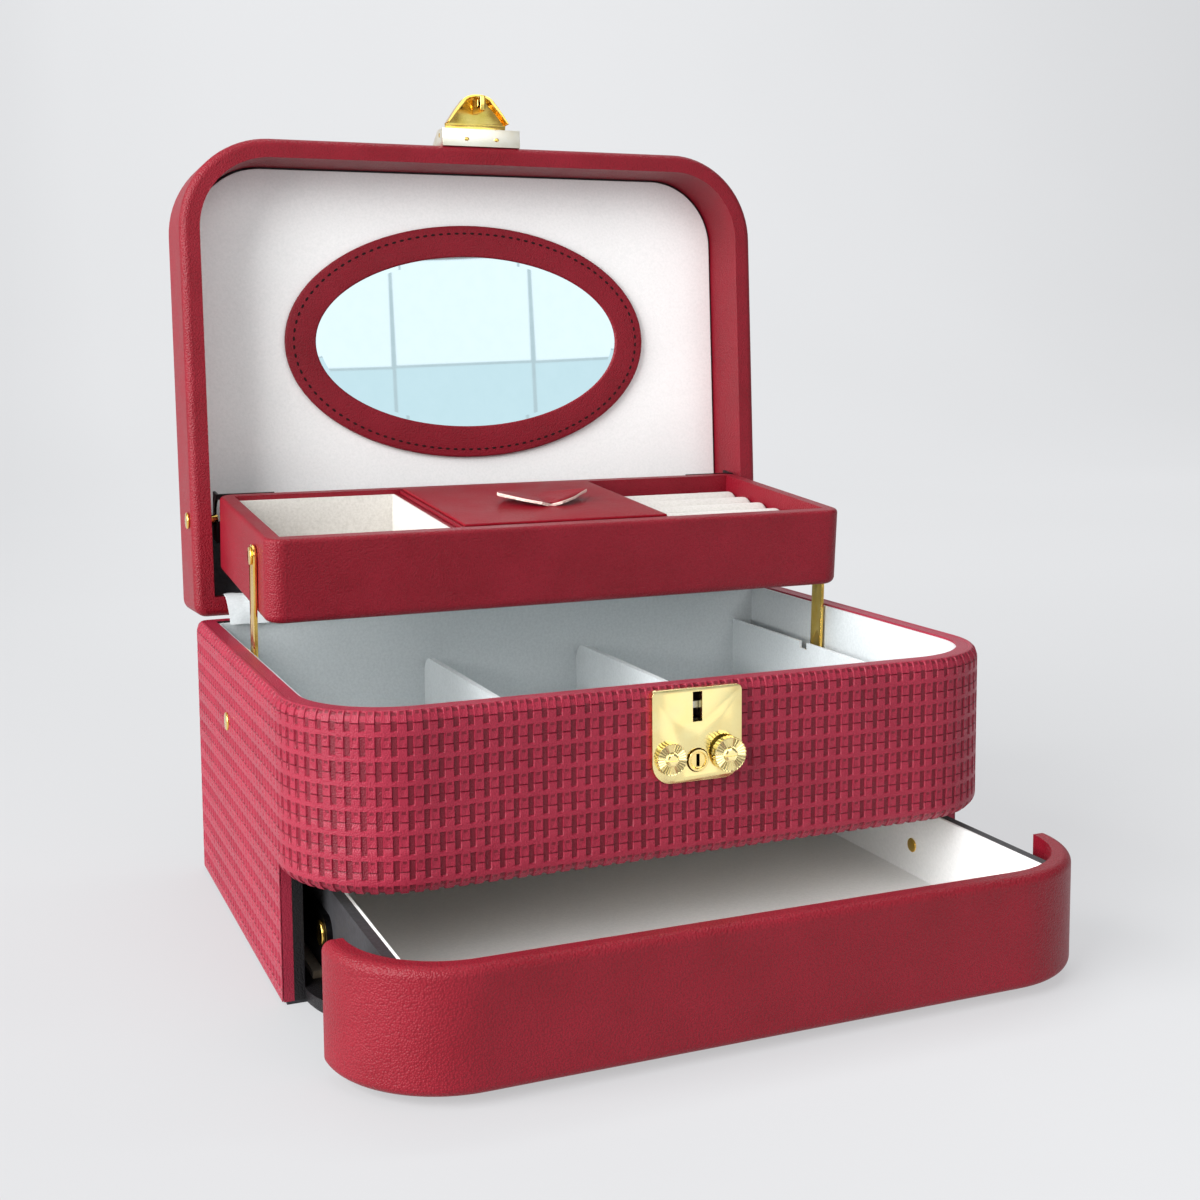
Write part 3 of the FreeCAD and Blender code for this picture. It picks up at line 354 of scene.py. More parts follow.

# %% [markdown]
# ## Walls that are red outside and black inside
# A wall is one CAD piece, red leather outside and black where it faces the drawer's bay or the
# lock's slot. In the bay the black is the black cloth; in the lock's slot it is painted shade of
# the dark cavity behind. The material tells the two apart by place: inside a given box, in
# metres, it turns black.

# %% Wall materials
def black_within(name, outer, **spans):
    """Copy of a leather that turns black where each named coordinate lies within its span."""
    material = outer.copy()
    material.name = name
    tree = material.node_tree
    shader = tree.nodes["Principled BSDF"]
    split = pattern(tree, "ShaderNodeSeparateXYZ")
    inside = None
    for axis, (low, high) in spans.items():
        near = add_node(tree, "ShaderNodeMath", operation="COMPARE")
        near.inputs[1].default_value = (low + high) / 2
        near.inputs[2].default_value = (high - low) / 2
        tree.links.new(split.outputs[axis.upper()], near.inputs[0])
        if inside:
            both = add_node(tree, "ShaderNodeMath", operation="MULTIPLY")
            tree.links.new(inside, both.inputs[0])
            tree.links.new(near.outputs[0], both.inputs[1])
            near = both
        inside = near.outputs[0]
    colour = shader.inputs["Base Color"].links[0].from_socket
    mix = add_node(tree, "ShaderNodeMix", data_type="RGBA")
    tree.links.new(inside, mix.inputs["Factor"])
    tree.links.new(colour, mix.inputs[6])
    # Black: in the drawer's bay the black cloth, in the lock's slot painted shade.
    mix.inputs[7].default_value = (0.010, 0.009, 0.010, 1)
    tree.links.new(mix.outputs[2], shader.inputs["Base Color"])
    return material


side_leather = black_within("side leather, black in the bay", raised_leather,
                            x=(-0.1266, 0.1266), z=(0.0, 0.0446))
# Painted shade: the front band turns black behind the lock's slot, for the dark lock cavity.
band_slot_shade_leather = black_within("band leather, painted shade in the slot", raised_leather,
                            x=(-0.0024, 0.0024), z=(0.088, 0.1016))
back_leather = black_within("back leather, black in the bay", raised_leather,
                            x=(-0.1229, 0.1229), y=(0.085, 0.0915))
floor_leather = black_within("floor leather, black in the bay", raised_leather,
                             y=(-0.0897, 0.0915))
print("wall finishes:", side_leather.name, "/", band_slot_shade_leather.name)

# %% [markdown]
# ## Brass, steel and the mirror
# The fittings are polished and gold-coloured. Metals get their look from what they reflect, so
# the colour stays simple, and a fine noise in the roughness gives the faint haze of handled
# brass.

# %% Metals
def metal(name, dark, light, rough, scratch=0.05, haze_range=0.12):
    material, tree, shader = new_material(name, Metallic=1.0)
    haze = pattern(tree, "ShaderNodeTexNoise", Scale=160, Detail=2).outputs["Fac"]
    tree.links.new(ramp(tree, haze, [(0.3, dark), (0.7, light)]), shader.inputs["Base Color"])
    polish = ramp(tree, haze, [(0.3, grey(rough)), (0.7, grey(rough + haze_range))])
    tree.links.new(polish, shader.inputs["Roughness"])
    marks = pattern(tree, "ShaderNodeTexNoise", Scale=1400, Detail=2)
    emboss(tree, shader, marks.outputs["Fac"], scratch, 0.0001)
    return material


brass = metal("polished brass", (0.90, 0.55, 0.10), (0.98, 0.70, 0.20), 0.10)
pale_brass = metal("pale gilded brass", (0.95, 0.68, 0.22), (1.0, 0.80, 0.34), 0.10)
# Near-white brass for the hasp's bracket: a painted highlight, as the bracket shines white.
highlight_white_brass = metal("brass whitened, painted highlight", (1.0, 0.93, 0.74), (1.0, 0.97, 0.86), 0.3)
gilding = metal("bright gilding", (1.0, 0.81, 0.36), (1.0, 0.87, 0.43), 0.10)
steel = metal("plain steel", (0.46, 0.47, 0.48), (0.60, 0.61, 0.62), 0.28)
black_steel = metal("black lacquered steel", (0.012, 0.012, 0.013), (0.02, 0.02, 0.022), 0.35)
mirror_glass = metal("silvered mirror", (0.90, 0.93, 0.94), (0.92, 0.945, 0.955), 0.012,
                     scratch=0.0, haze_range=0.006)
print("metals:", brass.name, "/", steel.name, "/", mirror_glass.name)

# %% [markdown]
# ## Dress the CAD pieces
# Every CAD node keeps its shape and gets a finish for its slot in the record. Some nodes are
# replaced later by fuller pieces, and then this finish is simply never seen.

# %% Dress the CAD pieces
finish_of_slot = {
    "embossed_leather": raised_leather,
    "smooth_leather": smooth_leather,
    "pale_lining": pale_lining,
    "black_cloth": black_cloth,
    "board": plain_board,
    "brass": brass,
    "steel": steel,
    "black_steel": black_steel,
    "mirror": mirror_glass,
}
for part in frame["record"]["subparts"]:
    node = frame["nodes"][part["node"]]
    node.data.materials.clear()
    node.data.materials.append(finish_of_slot[part["material_slot"]])
# Base lining pieces get the cool copy, which is painted shade; the tray's left well gets the
# cream copy, partly painted shade.
shaded_lining_nodes = ("wall_lining", "shelf_lining", "left_divider", "right_divider",
              "left_channel_panel", "right_channel_panel")
special_finishes = {node: cool_shaded_lining for node in shaded_lining_nodes}
special_finishes |= {
    "left_well_lining": cream_shaded_lining,
    "left_side_wall": side_leather,
    "right_side_wall": side_leather,
    "front_band": band_slot_shade_leather,
    "back_wall": back_leather,
    "base_floor_board": floor_leather,
}
for node, material in special_finishes.items():
    frame["nodes"][node].data.materials[0] = material

# %% [markdown]
# ## One embossed tile
# The base is covered with leather pressed in a small brick-like relief: raised bands run round
# the case, and between them stand short blocks with deep slots beside them, a fine crease across
# and a small notch above it. A tile holds one block and one slot. It is a plane that is cut along
# the edges of the relief, and its slot, crease and notch are pushed in. Its X runs up the wall,
# its Z along the wall, and its Y out of the leather.

# %% One embossed tile
cell = 4.92
row = 7.82
relief_depth = 0.5
upward_cuts = (0.7, 0.95, 3.15, 3.4, 3.65, 5.9, 6.9, 7.15)
sideways_cuts = (0.1, 0.35, 2.1, 2.35, 3.0, 4.35)
crease_at, crease_depth = 3.4, 0.3
notch_at, notch_depth = 5.9, 0.28


def shift(piece, mode, test, offset):
    """Move the chosen vertices or faces by an offset in millimetres."""
    choose(piece, mode, test)
    bpy.ops.transform.translate(value=[v * mm for v in offset])
    done_editing()


def slice_through(piece, point, normal, **clearing):
    """Cut the whole piece along a plane through a point in millimetres."""
    choose(piece, "FACE", everything)
    bpy.ops.mesh.bisect(plane_co=[v * mm for v in point], plane_no=normal, **clearing)
    done_editing()


def two_tone(piece, first, second, test):
    """Give a piece two materials, the second on the faces that pass the test."""
    piece.data.materials.clear()
    piece.data.materials.append(first)
    piece.data.materials.append(second)
    choose(piece, "FACE", test)
    piece.active_material_index = 1
    bpy.ops.object.material_slot_assign()
    done_editing()


def embossed_tile(name, cell_length):
    clear_selection()
    place = Vector((row, 0, cell_length)) * mm / 2
    bpy.ops.mesh.primitive_plane_add(size=1, location=place, rotation=(-math.pi / 2, 0, 0))
    tile = named(name)
    tile.scale = (row * mm, cell_length * mm, 1)
    settle(tile)
    for t in upward_cuts:
        slice_through(tile, (t, 0, 0), (1, 0, 0))
    for t in sideways_cuts:
        slice_through(tile, (0, 0, t), (0, 0, 1))
    in_slot = lambda p: 0.3 * mm < p.z < 2.2 * mm and 0.9 * mm < p.x < 7.0 * mm
    on_block = lambda p: p.z < 0.15 * mm or p.z > 2.3 * mm
    near = lambda p, height, reach: abs(p.x - height * mm) < reach * mm
    on_crease = lambda p: on_block(p) and near(p, crease_at, 0.1)
    on_notch = lambda p: 2.9 * mm < p.z < 4.4 * mm and near(p, notch_at, 0.1)
    shift(tile, "VERT", lambda v, p: in_slot(p), (0, -relief_depth, 0))
    shift(tile, "VERT", lambda v, p: on_crease(p), (0, -crease_depth, 0))
    shift(tile, "VERT", lambda v, p: on_notch(p), (0, -notch_depth, 0))
    # Painted shade: the slot floor, the crease and the notch take the darker pressed leather,
    # partly its own tone and partly painted shade in these recesses.
    crease_shade = lambda p: on_block(p) and near(p, crease_at, 0.2)
    notch_shade = lambda p: 3.0 * mm < p.z < 4.35 * mm and notch_at * mm < p.x < 6.9 * mm
    two_tone(tile, raised_leather, pressed_shaded_leather,
             lambda f, p: p.y < -0.3 * mm or crease_shade(p) or notch_shade(p))
    return tile


print("a tile is", cell, "by", row, "mm, pressed in by", relief_depth, "mm")

# %% [markdown]
# ## Wrapping the embossed leather round the walls
# Leather is cut flat and then bent, and so is this cover. Two arrays repeat the tile into a flat
# sheet, and two bends along curves give it its form: the first along the wall's profile, up and
# over the rounded rim, and the second along the wall's plan. The rows start at the same height
# everywhere, so they meet at the corners. At the lock the faces are deleted and the two sides
# bridged, so that the slot gets clean walls.

# %% Curves to bend along
def path_curve(name, points):
    """Flat curve through (x, y) points in millimetres."""
    data = bpy.data.curves.new(name, "CURVE")
    data.dimensions = "2D"
    spline = data.splines.new("POLY")
    spline.points.add(len(points) - 1)
    for point, (x, y) in zip(spline.points, points):
        point.co = (x * mm, y * mm, 0, 1)
    curve = bpy.data.objects.new(name, data)
    bpy.context.scene.collection.objects.link(curve)
    return curve


def arc_points(cx, cy, radius, start, end, steps=14):
    angles = [math.radians(start + (end - start) * i / steps) for i in range(steps + 1)]
    return [(cx + radius * math.cos(a), cy + radius * math.sin(a)) for a in angles]


def length_of(points):
    return sum(math.dist(a, b) for a, b in zip(points, points[1:]))


rim_lap = 4.0
rim_arc = arc_points(3.2, 99.3, 3.2, 180, 112) + [(2.6, 101.9)]
band_profile = [(7.0, 45.0)] + arc_points(4.0, 48.5, 4.0, 270, 180) + rim_arc
side_profile = [(0.0, 1.2)] + rim_arc
band_plan = arc_points(-92, -60, 38, 180, 270, 40) + arc_points(92, -60, 38, 270, 360, 40)
right_plan = [(130, -60)] + arc_points(125, 93, 5, 0, 45)
back_plan = arc_points(125, 93, 5, 45, 90) + arc_points(-125, 93, 5, 90, 135)
left_plan = arc_points(-125, 93, 5, 135, 180) + [(-130, -60)]
print("band:", round(length_of(band_plan), 1), "by", round(length_of(band_profile), 1), "mm")

# %% Embossed covers
wall_gap = 0.07
leather_thickness = 0.35


def repeat(piece, count, step, **merging):
    """Row of copies, each a step in metres further on."""
    modify(piece, "ARRAY", count=count, use_relative_offset=False, use_constant_offset=True,
           constant_offset_displace=step, **merging)


def embossed_cover(name, profile, plan):
    """Leather cover: tiles repeated into a sheet, bent along a profile and then a plan."""
    length = length_of(plan)
    height = length_of(profile)
    columns = round(length / cell)
    to_rim = length_of(profile[: len(profile) - len(rim_arc) + 1])
    start = (to_rim + rim_lap) % row - row
    rows = math.ceil((height - start) / row)
    cover = embossed_tile(name, length / columns)
    merging = {"use_merge_vertices": True, "merge_threshold": 0.00002}
    repeat(cover, columns, (0, 0, length / columns * mm), **merging)
    repeat(cover, rows, (row * mm, 0, 0), **merging)
    cover.location = (start * mm, (relief_depth + wall_gap) * mm, 0)
    settle(cover)
    slice_through(cover, (0, 0, 0), (1, 0, 0), clear_inner=True)
    slice_through(cover, (height, 0, 0), (1, 0, 0), clear_outer=True)
    modify(cover, "SOLIDIFY", thickness=leather_thickness * mm, offset=-1)
    profile_curve = path_curve("profile", profile)
    modify(cover, "CURVE", object=profile_curve, deform_axis="POS_X")
    cover.rotation_euler = (math.pi / 2, 0, math.pi / 2)
    settle(cover)
    plan_curve = path_curve("plan", plan)
    modify(cover, "CURVE", object=plan_curve, deform_axis="POS_X")
    bpy.data.objects.remove(profile_curve)
    bpy.data.objects.remove(plan_curve)
    outward(cover)
    return finish(cover, "base", angle=50)


front_cover = embossed_cover("front_cover", band_profile, band_plan)
right_cover = embossed_cover("right_side_cover", side_profile, right_plan)
left_cover = embossed_cover("left_side_cover", side_profile, left_plan)
back_cover = embossed_cover("back_cover", side_profile, back_plan)
for cover in (front_cover, right_cover, left_cover, back_cover):
    print(cover.name, "is", [round(side / mm, 1) for side in cover.dimensions], "mm")

# %% Open the lock's slot
def nothing(item, place):
    return False


def choose_open_edges(piece):
    choose(piece, "EDGE", nothing)
    bpy.ops.mesh.select_non_manifold(extend=False)


behind_slot = lambda p: abs(p.x) < 3.4 * mm and 88 * mm < p.z < 101.2 * mm
choose(front_cover, "FACE", lambda f, p: behind_slot(p))
bpy.ops.mesh.delete(type="FACE")
choose_open_edges(front_cover)
bpy.ops.mesh.bridge_edge_loops()
done_editing()
print("front cover with its slot has", len(front_cover.data.polygons), "faces")

# %% [markdown]
# ## Sharper brass from the CAD pieces
# Stamped brass never has razor edges: the light runs along small rounded ones. A copy of each CAD
# fitting is merged into a clean mesh and its edges are bevelled by a few tenths of a millimetre.
# The copy then stands for the CAD node. Two small domed rivet heads are added on the hasp's
# housing.

# %% Bevelled fittings
def cad_copy(node, name):
    """Copy of a CAD node, merged into a clean mesh."""
    piece = bpy.data.objects.new(name, frame["nodes"][node].data.copy())
    bpy.context.scene.collection.objects.link(piece)
    outward(piece)
    return piece


def dissolve_flats(piece):
    modify(piece, "DECIMATE", decimate_type="DISSOLVE", angle_limit=math.radians(1))


def round_edges(piece, width, segments, angle):
    """Bevel the edges that are sharper than the angle, by a width in millimetres."""
    modify(piece, "BEVEL", width=width * mm, segments=segments, limit_method="ANGLE",
           angle_limit=math.radians(angle))


def bevelled_copy(node, name, width, body, material, segments=2, reshape=None, smooth=40):
    """Bevelled copy that stands for a CAD node."""
    piece = cad_copy(node, name)
    dissolve_flats(piece)
    if reshape:
        reshape(piece)
    round_edges(piece, width, segments, 30)
    finish(piece, body, material, angle=smooth)
    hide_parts(node)
    return piece


def arch_tongue(piece):
    """Cut the tongue across every 2 mm, draw in its foot and widen its tip into an arch."""
    foot, length = 306, 15.7
    for height in range(foot + 2, 322, 2):
        slice_through(piece, (0, 0, height), (0, 0, 1))
    for vertex in piece.data.vertices:
        reach = min(max((vertex.co.z - foot * mm) / (length * mm), 0), 1)
        vertex.co.x *= 0.85 + 0.48 * reach ** 2


# The bracket takes the near-white brass, which is a painted highlight.
bevelled_copy("hasp_housing", "hasp_bracket", 0.22, "lid", highlight_white_brass)
bevelled_copy("hasp_flap", "hasp_tongue", 0.22, "flap", brass, reshape=arch_tongue)
bevelled_copy("hasp_staple", "hasp_loop", 0.3, "flap", brass)
bevelled_copy("left_lever", "left_lift_lever", 0.22, "left_lever", brass)
bevelled_copy("right_lever", "right_lift_lever", 0.22, "right_lever", brass)
bevelled_copy("tray_studs", "tray_stud_heads", 0.35, "tray", brass, segments=3)
bevelled_copy("lever_rivets", "lever_rivet_heads", 0.5, "base", brass, segments=3)
bevelled_copy("lid_tray_pins", "lid_rivet_heads", 0.5, "lid", brass, segments=3)
bevelled_copy("drawer_rivets", "drawer_rivet_heads", 0.5, "drawer", brass, segments=3)

# %% Housing rivets
clear_selection()
rivet_spread = 13.6
bpy.ops.mesh.primitive_uv_sphere_add(segments=16, ring_count=10, radius=1)
housing_rivets = named("hasp_housing_rivets")
housing_rivets.location = Vector((-rivet_spread / 2, 110.0, 302.0)) * mm
housing_rivets.scale = (1.1 * mm, 0.45 * mm, 0.8 * mm)
settle(housing_rivets)
repeat(housing_rivets, 2, (rivet_spread * mm, 0, 0))
finish(housing_rivets, "lid", brass)

# %% [markdown]
# ## Lock plate
# A thick gilded plate is let on to the middle of the front band, with its lower corners rounded
# and a slot for the hasp's loop. It starts as a block. Its corners are bevelled, the slot and the
# key's hole are cut with booleans, and a last fine bevel gives the bright line that runs round
# the plate.

# %% Lock plate
def block(name, low, high):
    """Box between two corners given in millimetres."""
    clear_selection()
    low = Vector(low) * mm
    high = Vector(high) * mm
    bpy.ops.mesh.primitive_cube_add(size=1, location=(low + high) / 2)
    piece = named(name)
    piece.scale = high - low
    settle(piece)
    return piece


def cut_out(piece, cutter):
    modify(piece, "BOOLEAN", object=cutter, operation="DIFFERENCE", solver="EXACT")
    bpy.data.objects.remove(cutter)


def bevel_edges(piece, radius, segments, test):
    choose(piece, "EDGE", test)
    bpy.ops.mesh.bevel(offset=radius * mm, segments=segments, affect="EDGES")
    done_editing()


plate_half, plate_low, plate_high = 16.3, 70.5, 101.7
plate_front, plate_back = -100.8, -98.0
plate_middle = (plate_front + plate_back) / 2
key_height = 77.5
on_corner = lambda p: abs(p.x) > 16 * mm and abs(p.y - plate_middle * mm) < 0.2 * mm
plate = block("lock_face_plate", (-plate_half, plate_front, plate_low),
              (plate_half, plate_back, plate_high))
bevel_edges(plate, 7.0, 8, lambda e, p: on_corner(p) and p.z < (plate_low + 0.1) * mm)
bevel_edges(plate, 2.0, 5, lambda e, p: on_corner(p) and p.z > (plate_high - 0.1) * mm)
cut_out(plate, block("slot_cutter", (-1.7, -103, 90.4), (1.7, -96, 100.4)))
clear_selection()
bpy.ops.mesh.primitive_cylinder_add(vertices=48, radius=4.0 * mm, depth=9 * mm,
                                    rotation=(math.pi / 2, 0, 0),
                                    location=(0, -99 * mm, key_height * mm))
cut_out(plate, named("key_hole_cutter"))
round_edges(plate, 0.5, 3, 40)
finish(plate, "base", gilding)
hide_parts("lock_plate")

# %% [markdown]
# ## Rosettes
# Two fluted rosettes flank the key. The left one is fixed, the right one is larger and is the
# release button. A rosette is a 60-sided disc whose top is inset into rings. Every second spoke
# of the wide ring is pushed down, which gives 30 fine flutes, and the middle is drawn up into a
# dome with a slot.

# %% Rosettes
flute_depth = 0.2
stem_radius = 2.2
rosette_spread, rosette_height = 10.2, 79.1
button_back = -102.1


def rosette(name, radius, height, stem):
    clear_selection()
    bpy.ops.mesh.primitive_cylinder_add(vertices=60, radius=radius * mm, depth=height * mm,
                                        location=(0, 0, height * mm / 2))
    piece = named(name)
    settle(piece)
    inner = lambda f, p: f.normal.z > 0.9 and len(f.vertices) > 8
    for ring in (0.08, 0.46, 0.06):
        choose(piece, "FACE", inner)
        bpy.ops.mesh.inset(thickness=ring * radius * mm)
        done_editing()
    for rise, spread in ((0.45, 0.94), (0.35, 0.72)):
        choose(piece, "FACE", inner)
        bpy.ops.mesh.extrude_region_move(TRANSFORM_OT_translate={"value": (0, 0, rise * mm)})
        bpy.ops.transform.resize(value=(spread, spread, 1), center_override=(0, 0, 0))
        done_editing()
    spoke = lambda p: round(math.atan2(p.y, p.x) / math.radians(6)) % 2 == 0
    reach = lambda p: p.xy.length / (radius * mm)
    on_flute = lambda p: 0.44 < reach(p) < 0.94 and abs(p.z - height * mm) < 0.01 * mm
    shift(piece, "VERT", lambda v, p: on_flute(p) and spoke(p), (0, 0, -flute_depth))
    choose(piece, "VERT", lambda v, p: reach(p) > 0.97 and spoke(p))
    bpy.ops.transform.resize(value=(0.955, 0.955, 1), center_override=(0, 0, 0))
    done_editing()
    choose(piece, "FACE", lambda f, p: f.normal.z < -0.9)
    bpy.ops.mesh.inset(thickness=(radius - stem_radius) * mm)
    bpy.ops.mesh.extrude_region_move(TRANSFORM_OT_translate={"value": (0, 0, -stem * mm)})
    done_editing()
    cut_out(piece, block("slot_cutter", (-3, -0.42, height + 0.35), (3, 0.42, height + 2)))
    return piece


def on_lock(piece, x, back, z):
    """Stand a rosette or the key on the lock, its back at y = back."""
    piece.rotation_euler = (math.pi / 2, 0, 0)
    piece.location = (x * mm, back * mm, z * mm)
    settle(piece)
    outward(piece)
    round_edges(piece, 0.1, 1, 60)
    return piece


fixed = on_lock(rosette("left_fluted_rosette", 5.4, 2.2, 2.0),
                -rosette_spread, plate_front, rosette_height)
finish(fixed, "base", gilding, angle=12)
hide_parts("left_rosette")
pressed = on_lock(rosette("fluted_release_button", 5.9, 2.6, 5.0),
                  rosette_spread, button_back, rosette_height)
finish(pressed, "button", gilding, angle=12)
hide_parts("release_button")

# %% [markdown]
# ## Key cylinder
# Between the rosettes sits the round face of the key cylinder, with a raised ring and an upright
# slot. A painted slot would look flat from the side, so it is cut. A cylinder's face is inset
# twice and pushed in, which leaves the ring, a boolean cuts the slot, and the slot's faces are
# made black as painted shade in the keyway.

# %% Key cylinder
clear_selection()
bpy.ops.mesh.primitive_cylinder_add(vertices=48, radius=3.65 * mm, depth=9 * mm,
                                    location=(0, 0, -3.7 * mm))
key = named("key_barrel")
settle(key)
choose(key, "FACE", lambda f, p: f.normal.z > 0.9)
bpy.ops.mesh.inset(thickness=0.75 * mm)
bpy.ops.mesh.inset(thickness=0.3 * mm)
bpy.ops.transform.translate(value=(0, 0, -0.55 * mm))
done_editing()
cut_out(key, block("slot_cutter", (-0.6, -2.1, -2.2), (0.6, 2.1, 2)))
shaded_key_slot = lambda p: abs(p.x) < 0.65 * mm and abs(p.y) < 2.15 * mm
# Painted shade: the faces inside the key's slot are black.
two_tone(key, pale_brass, black_steel,
         lambda f, p: shaded_key_slot(p) and -3 * mm < p.z < -0.2 * mm)
on_lock(key, 0, plate_front, key_height)
finish(key, "key", angle=30)
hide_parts("key_cylinder")

# %% [markdown]
# ## Lid lining
# The lining is a card covered with white paper, pushed into the lid. It is a little smaller than
# the lid, and a dark slit shows round it. A copy of the CAD panel is drawn in by less than a
# millimetre, and a black copy behind it paints the shade in the slit.

# %% Lid lining
lining_low, lining_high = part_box("lid_lining")
lining_middle = (lining_low + lining_high) / 2
slit = 0.8


def draw_in(piece):
    """Leave a slit between the lining and the lid's walls."""
    for vertex in piece.data.vertices:
        away = vertex.co - lining_middle
        vertex.co.x -= slit * mm * away.x / (lining_high.x - lining_middle.x)
        vertex.co.z -= slit * mm * away.z / (lining_high.z - lining_middle.z)


bevelled_copy("lid_lining", "lid_lining_card", 0.3, "lid", pale_lining,
              reshape=draw_in, smooth=20)
# Painted shade: a black copy of the panel behind the card darkens the slit.
slit_shade_sheet = cad_copy("lid_lining", "lining_slit_painted_shade")
slit_shade_sheet.location = (0, slit * mm, 0)
settle(slit_shade_sheet)
finish(slit_shade_sheet, "lid", black_cloth)

# %% [markdown]
# ## Mirror frame and its stitching
# The oval frame is a flat leather ring with a line of stitches near its outer edge. The ring
# grows out of a circle that is scaled to an oval, extruded inwards and then given its thickness.
# One stitch is modelled and an array repeats it along an oval curve, as a sewing machine would.
# The glass lies behind the ring, and its rim is ground to a shallow bevel by two insets.

# %% Mirror frame
mirror_y = -15.0
ring_outer, ring_inner = (84, 51.75), (70.5, 37.8)
ring_middle = Vector((0, mirror_y, 129)) * mm
clear_selection()
bpy.ops.mesh.primitive_circle_add(vertices=128, radius=1)
ring = named("stitched_mirror_frame")
ring.scale = (ring_outer[0] * mm, ring_outer[1] * mm, 1)
ring.location = ring_middle
settle(ring)
choose(ring, "EDGE", everything)
bpy.ops.mesh.extrude_edges_move()
narrowing = [inner / outer for inner, outer in zip(ring_inner, ring_outer)]
bpy.ops.transform.resize(value=(*narrowing, 1), center_override=ring_middle)
bpy.ops.mesh.select_all(action="SELECT")
bpy.ops.mesh.extrude_region_move(TRANSFORM_OT_translate={"value": (0, 0, -2.5 * mm)})
done_editing()
outward(ring)
round_edges(ring, 0.9, 4, 40)
posed(ring, lid_pose)
finish(ring, "lid", smooth_leather)
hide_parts("mirror_frame")

# %% Stitches
thread = fibrous("dark red thread", (0.008, 0.001, 0.002), (0.016, 0.002, 0.003),
                 scale=2600, rough=0.8, sheen=0.0)


def stitch_row(name, half_length, half_height, centre, count):
    """Stitches along an oval, each a small lozenge half sunk into the leather."""
    clear_selection()
    bpy.ops.curve.primitive_bezier_circle_add(radius=1)
    oval = bpy.context.object
    oval.scale = (half_length * mm, half_height * mm, 1)
    oval.data.resolution_u = 48
    settle(oval)
    angles = [math.tau * i / 720 for i in range(721)]
    around = [(half_length * math.cos(a), half_height * math.sin(a)) for a in angles]
    pitch = length_of(around) / count
    clear_selection()
    bpy.ops.mesh.primitive_uv_sphere_add(segments=8, ring_count=6, radius=1)
    stitch = named(name)
    stitch.scale = (0.28 * pitch * mm, 0.85 * mm, 0.42 * mm)
    stitch.location = (0.5 * pitch * mm, 0, 0)
    settle(stitch)
    repeat(stitch, count, (pitch * mm, 0, 0))
    modify(stitch, "CURVE", object=oval, deform_axis="POS_X")
    bpy.data.objects.remove(oval)
    stitch.location = Vector(centre) * mm
    settle(stitch)
    return stitch


stitches = stitch_row("mirror_frame_stitches", 80.3, 48.2, (0, mirror_y, 126.45), 112)
posed(stitches, lid_pose)
finish(stitches, "lid", thread)

# %% Mirror glass
clear_selection()
bpy.ops.mesh.primitive_cylinder_add(vertices=128, radius=1, depth=1.4 * mm)
glass = named("bevelled_mirror")
glass.scale = (73.1 * mm, 40.4 * mm, 1)
glass.location = (0, mirror_y * mm, 128.3 * mm)
settle(glass)
choose(glass, "FACE", lambda f, p: f.normal.z < -0.9)
bpy.ops.mesh.inset(thickness=2.6 * mm)
bpy.ops.mesh.inset(thickness=1.7 * mm)
bpy.ops.transform.translate(value=(0, 0, -0.03 * mm))
done_editing()
posed(glass, lid_pose)
finish(glass, "lid", mirror_glass, angle=0.2)
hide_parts("mirror_glass")

# %% [markdown]
# ## Padded cover of the middle well
# A thin foam pad under leather covers the tray's middle well. Its leather is held only at the
# edge and swells freely, so it is made with a cloth simulation: a fine grid is pinned along its
# border, as if sewn to the board, and a little air pressure lifts the leather into a crown. The
# rise is capped, and the border is drawn down to close the pad.

# %% Padded cover
half_width, half_depth = 42.3 * mm, 42.5 * mm
pad_middle = -50 * mm
flat_height = 32.0 * mm
clear_selection()
bpy.ops.mesh.primitive_grid_add(x_subdivisions=40, y_subdivisions=40, size=1)
cushion = named("padded_well_cover")
cushion.scale = (2 * half_width, 2 * half_depth, 1)
cushion.location = (0, pad_middle, flat_height)
settle(cushion)


def on_border(p):
    return abs(p.x) > half_width - 0.1 * mm or abs(p.y - pad_middle) > half_depth - 0.1 * mm


pinned = cushion.vertex_groups.new(name="sewn_edge")
pinned.add([v.index for v in cushion.data.vertices if on_border(v.co)], 1.0, "REPLACE")
pick(cushion)
cloth = cushion.modifiers.new("foam", "CLOTH")
cloth.settings.vertex_group_mass = "sewn_edge"
cloth.settings.use_pressure = True
cloth.settings.uniform_pressure_force = 4
cloth.settings.effector_weights.gravity = 0
for step in range(1, 21):
    bpy.context.scene.frame_set(step)
bpy.ops.object.modifier_apply(modifier=cloth.name)
bpy.context.scene.frame_set(1)
tallest = max(v.co.z for v in cushion.data.vertices) - flat_height
print("simulated rise of the pad:", round(tallest / mm, 2), "mm")

# %% Cap the rise and close the pad
crown = 1.7 * mm
for vertex in cushion.data.vertices:
    across = 1 - (vertex.co.x / half_width) ** 2
    along = 1 - ((vertex.co.y - pad_middle) / half_depth) ** 2
    dome = crown * max(across * along, 0) ** 0.5
    swell = max(vertex.co.z - flat_height, 0)
    vertex.co.z = flat_height + (min(swell, dome) if tallest > 0.2 * mm else dome)
choose_open_edges(cushion)
bpy.ops.mesh.extrude_edges_move(TRANSFORM_OT_translate={"value": (0, 0, -1.1 * mm)})
bpy.ops.mesh.edge_face_add()
done_editing()
outward(cushion)
round_edges(cushion, 1.05, 4, 50)
posed(cushion, tray_pose)
finish(cushion, "cover", pad_leather, angle=50)
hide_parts("cover_cushion")

# %% [markdown]
# ## Lift tab
# A small two-lobed pull of thick leather lies on the pad. Its cut edge is not dyed, so it shows
# as a pale line. The CAD outline is copied, its lobes are lifted a little as a handled tab curls,
# and its sides get the pale finish of cut leather.

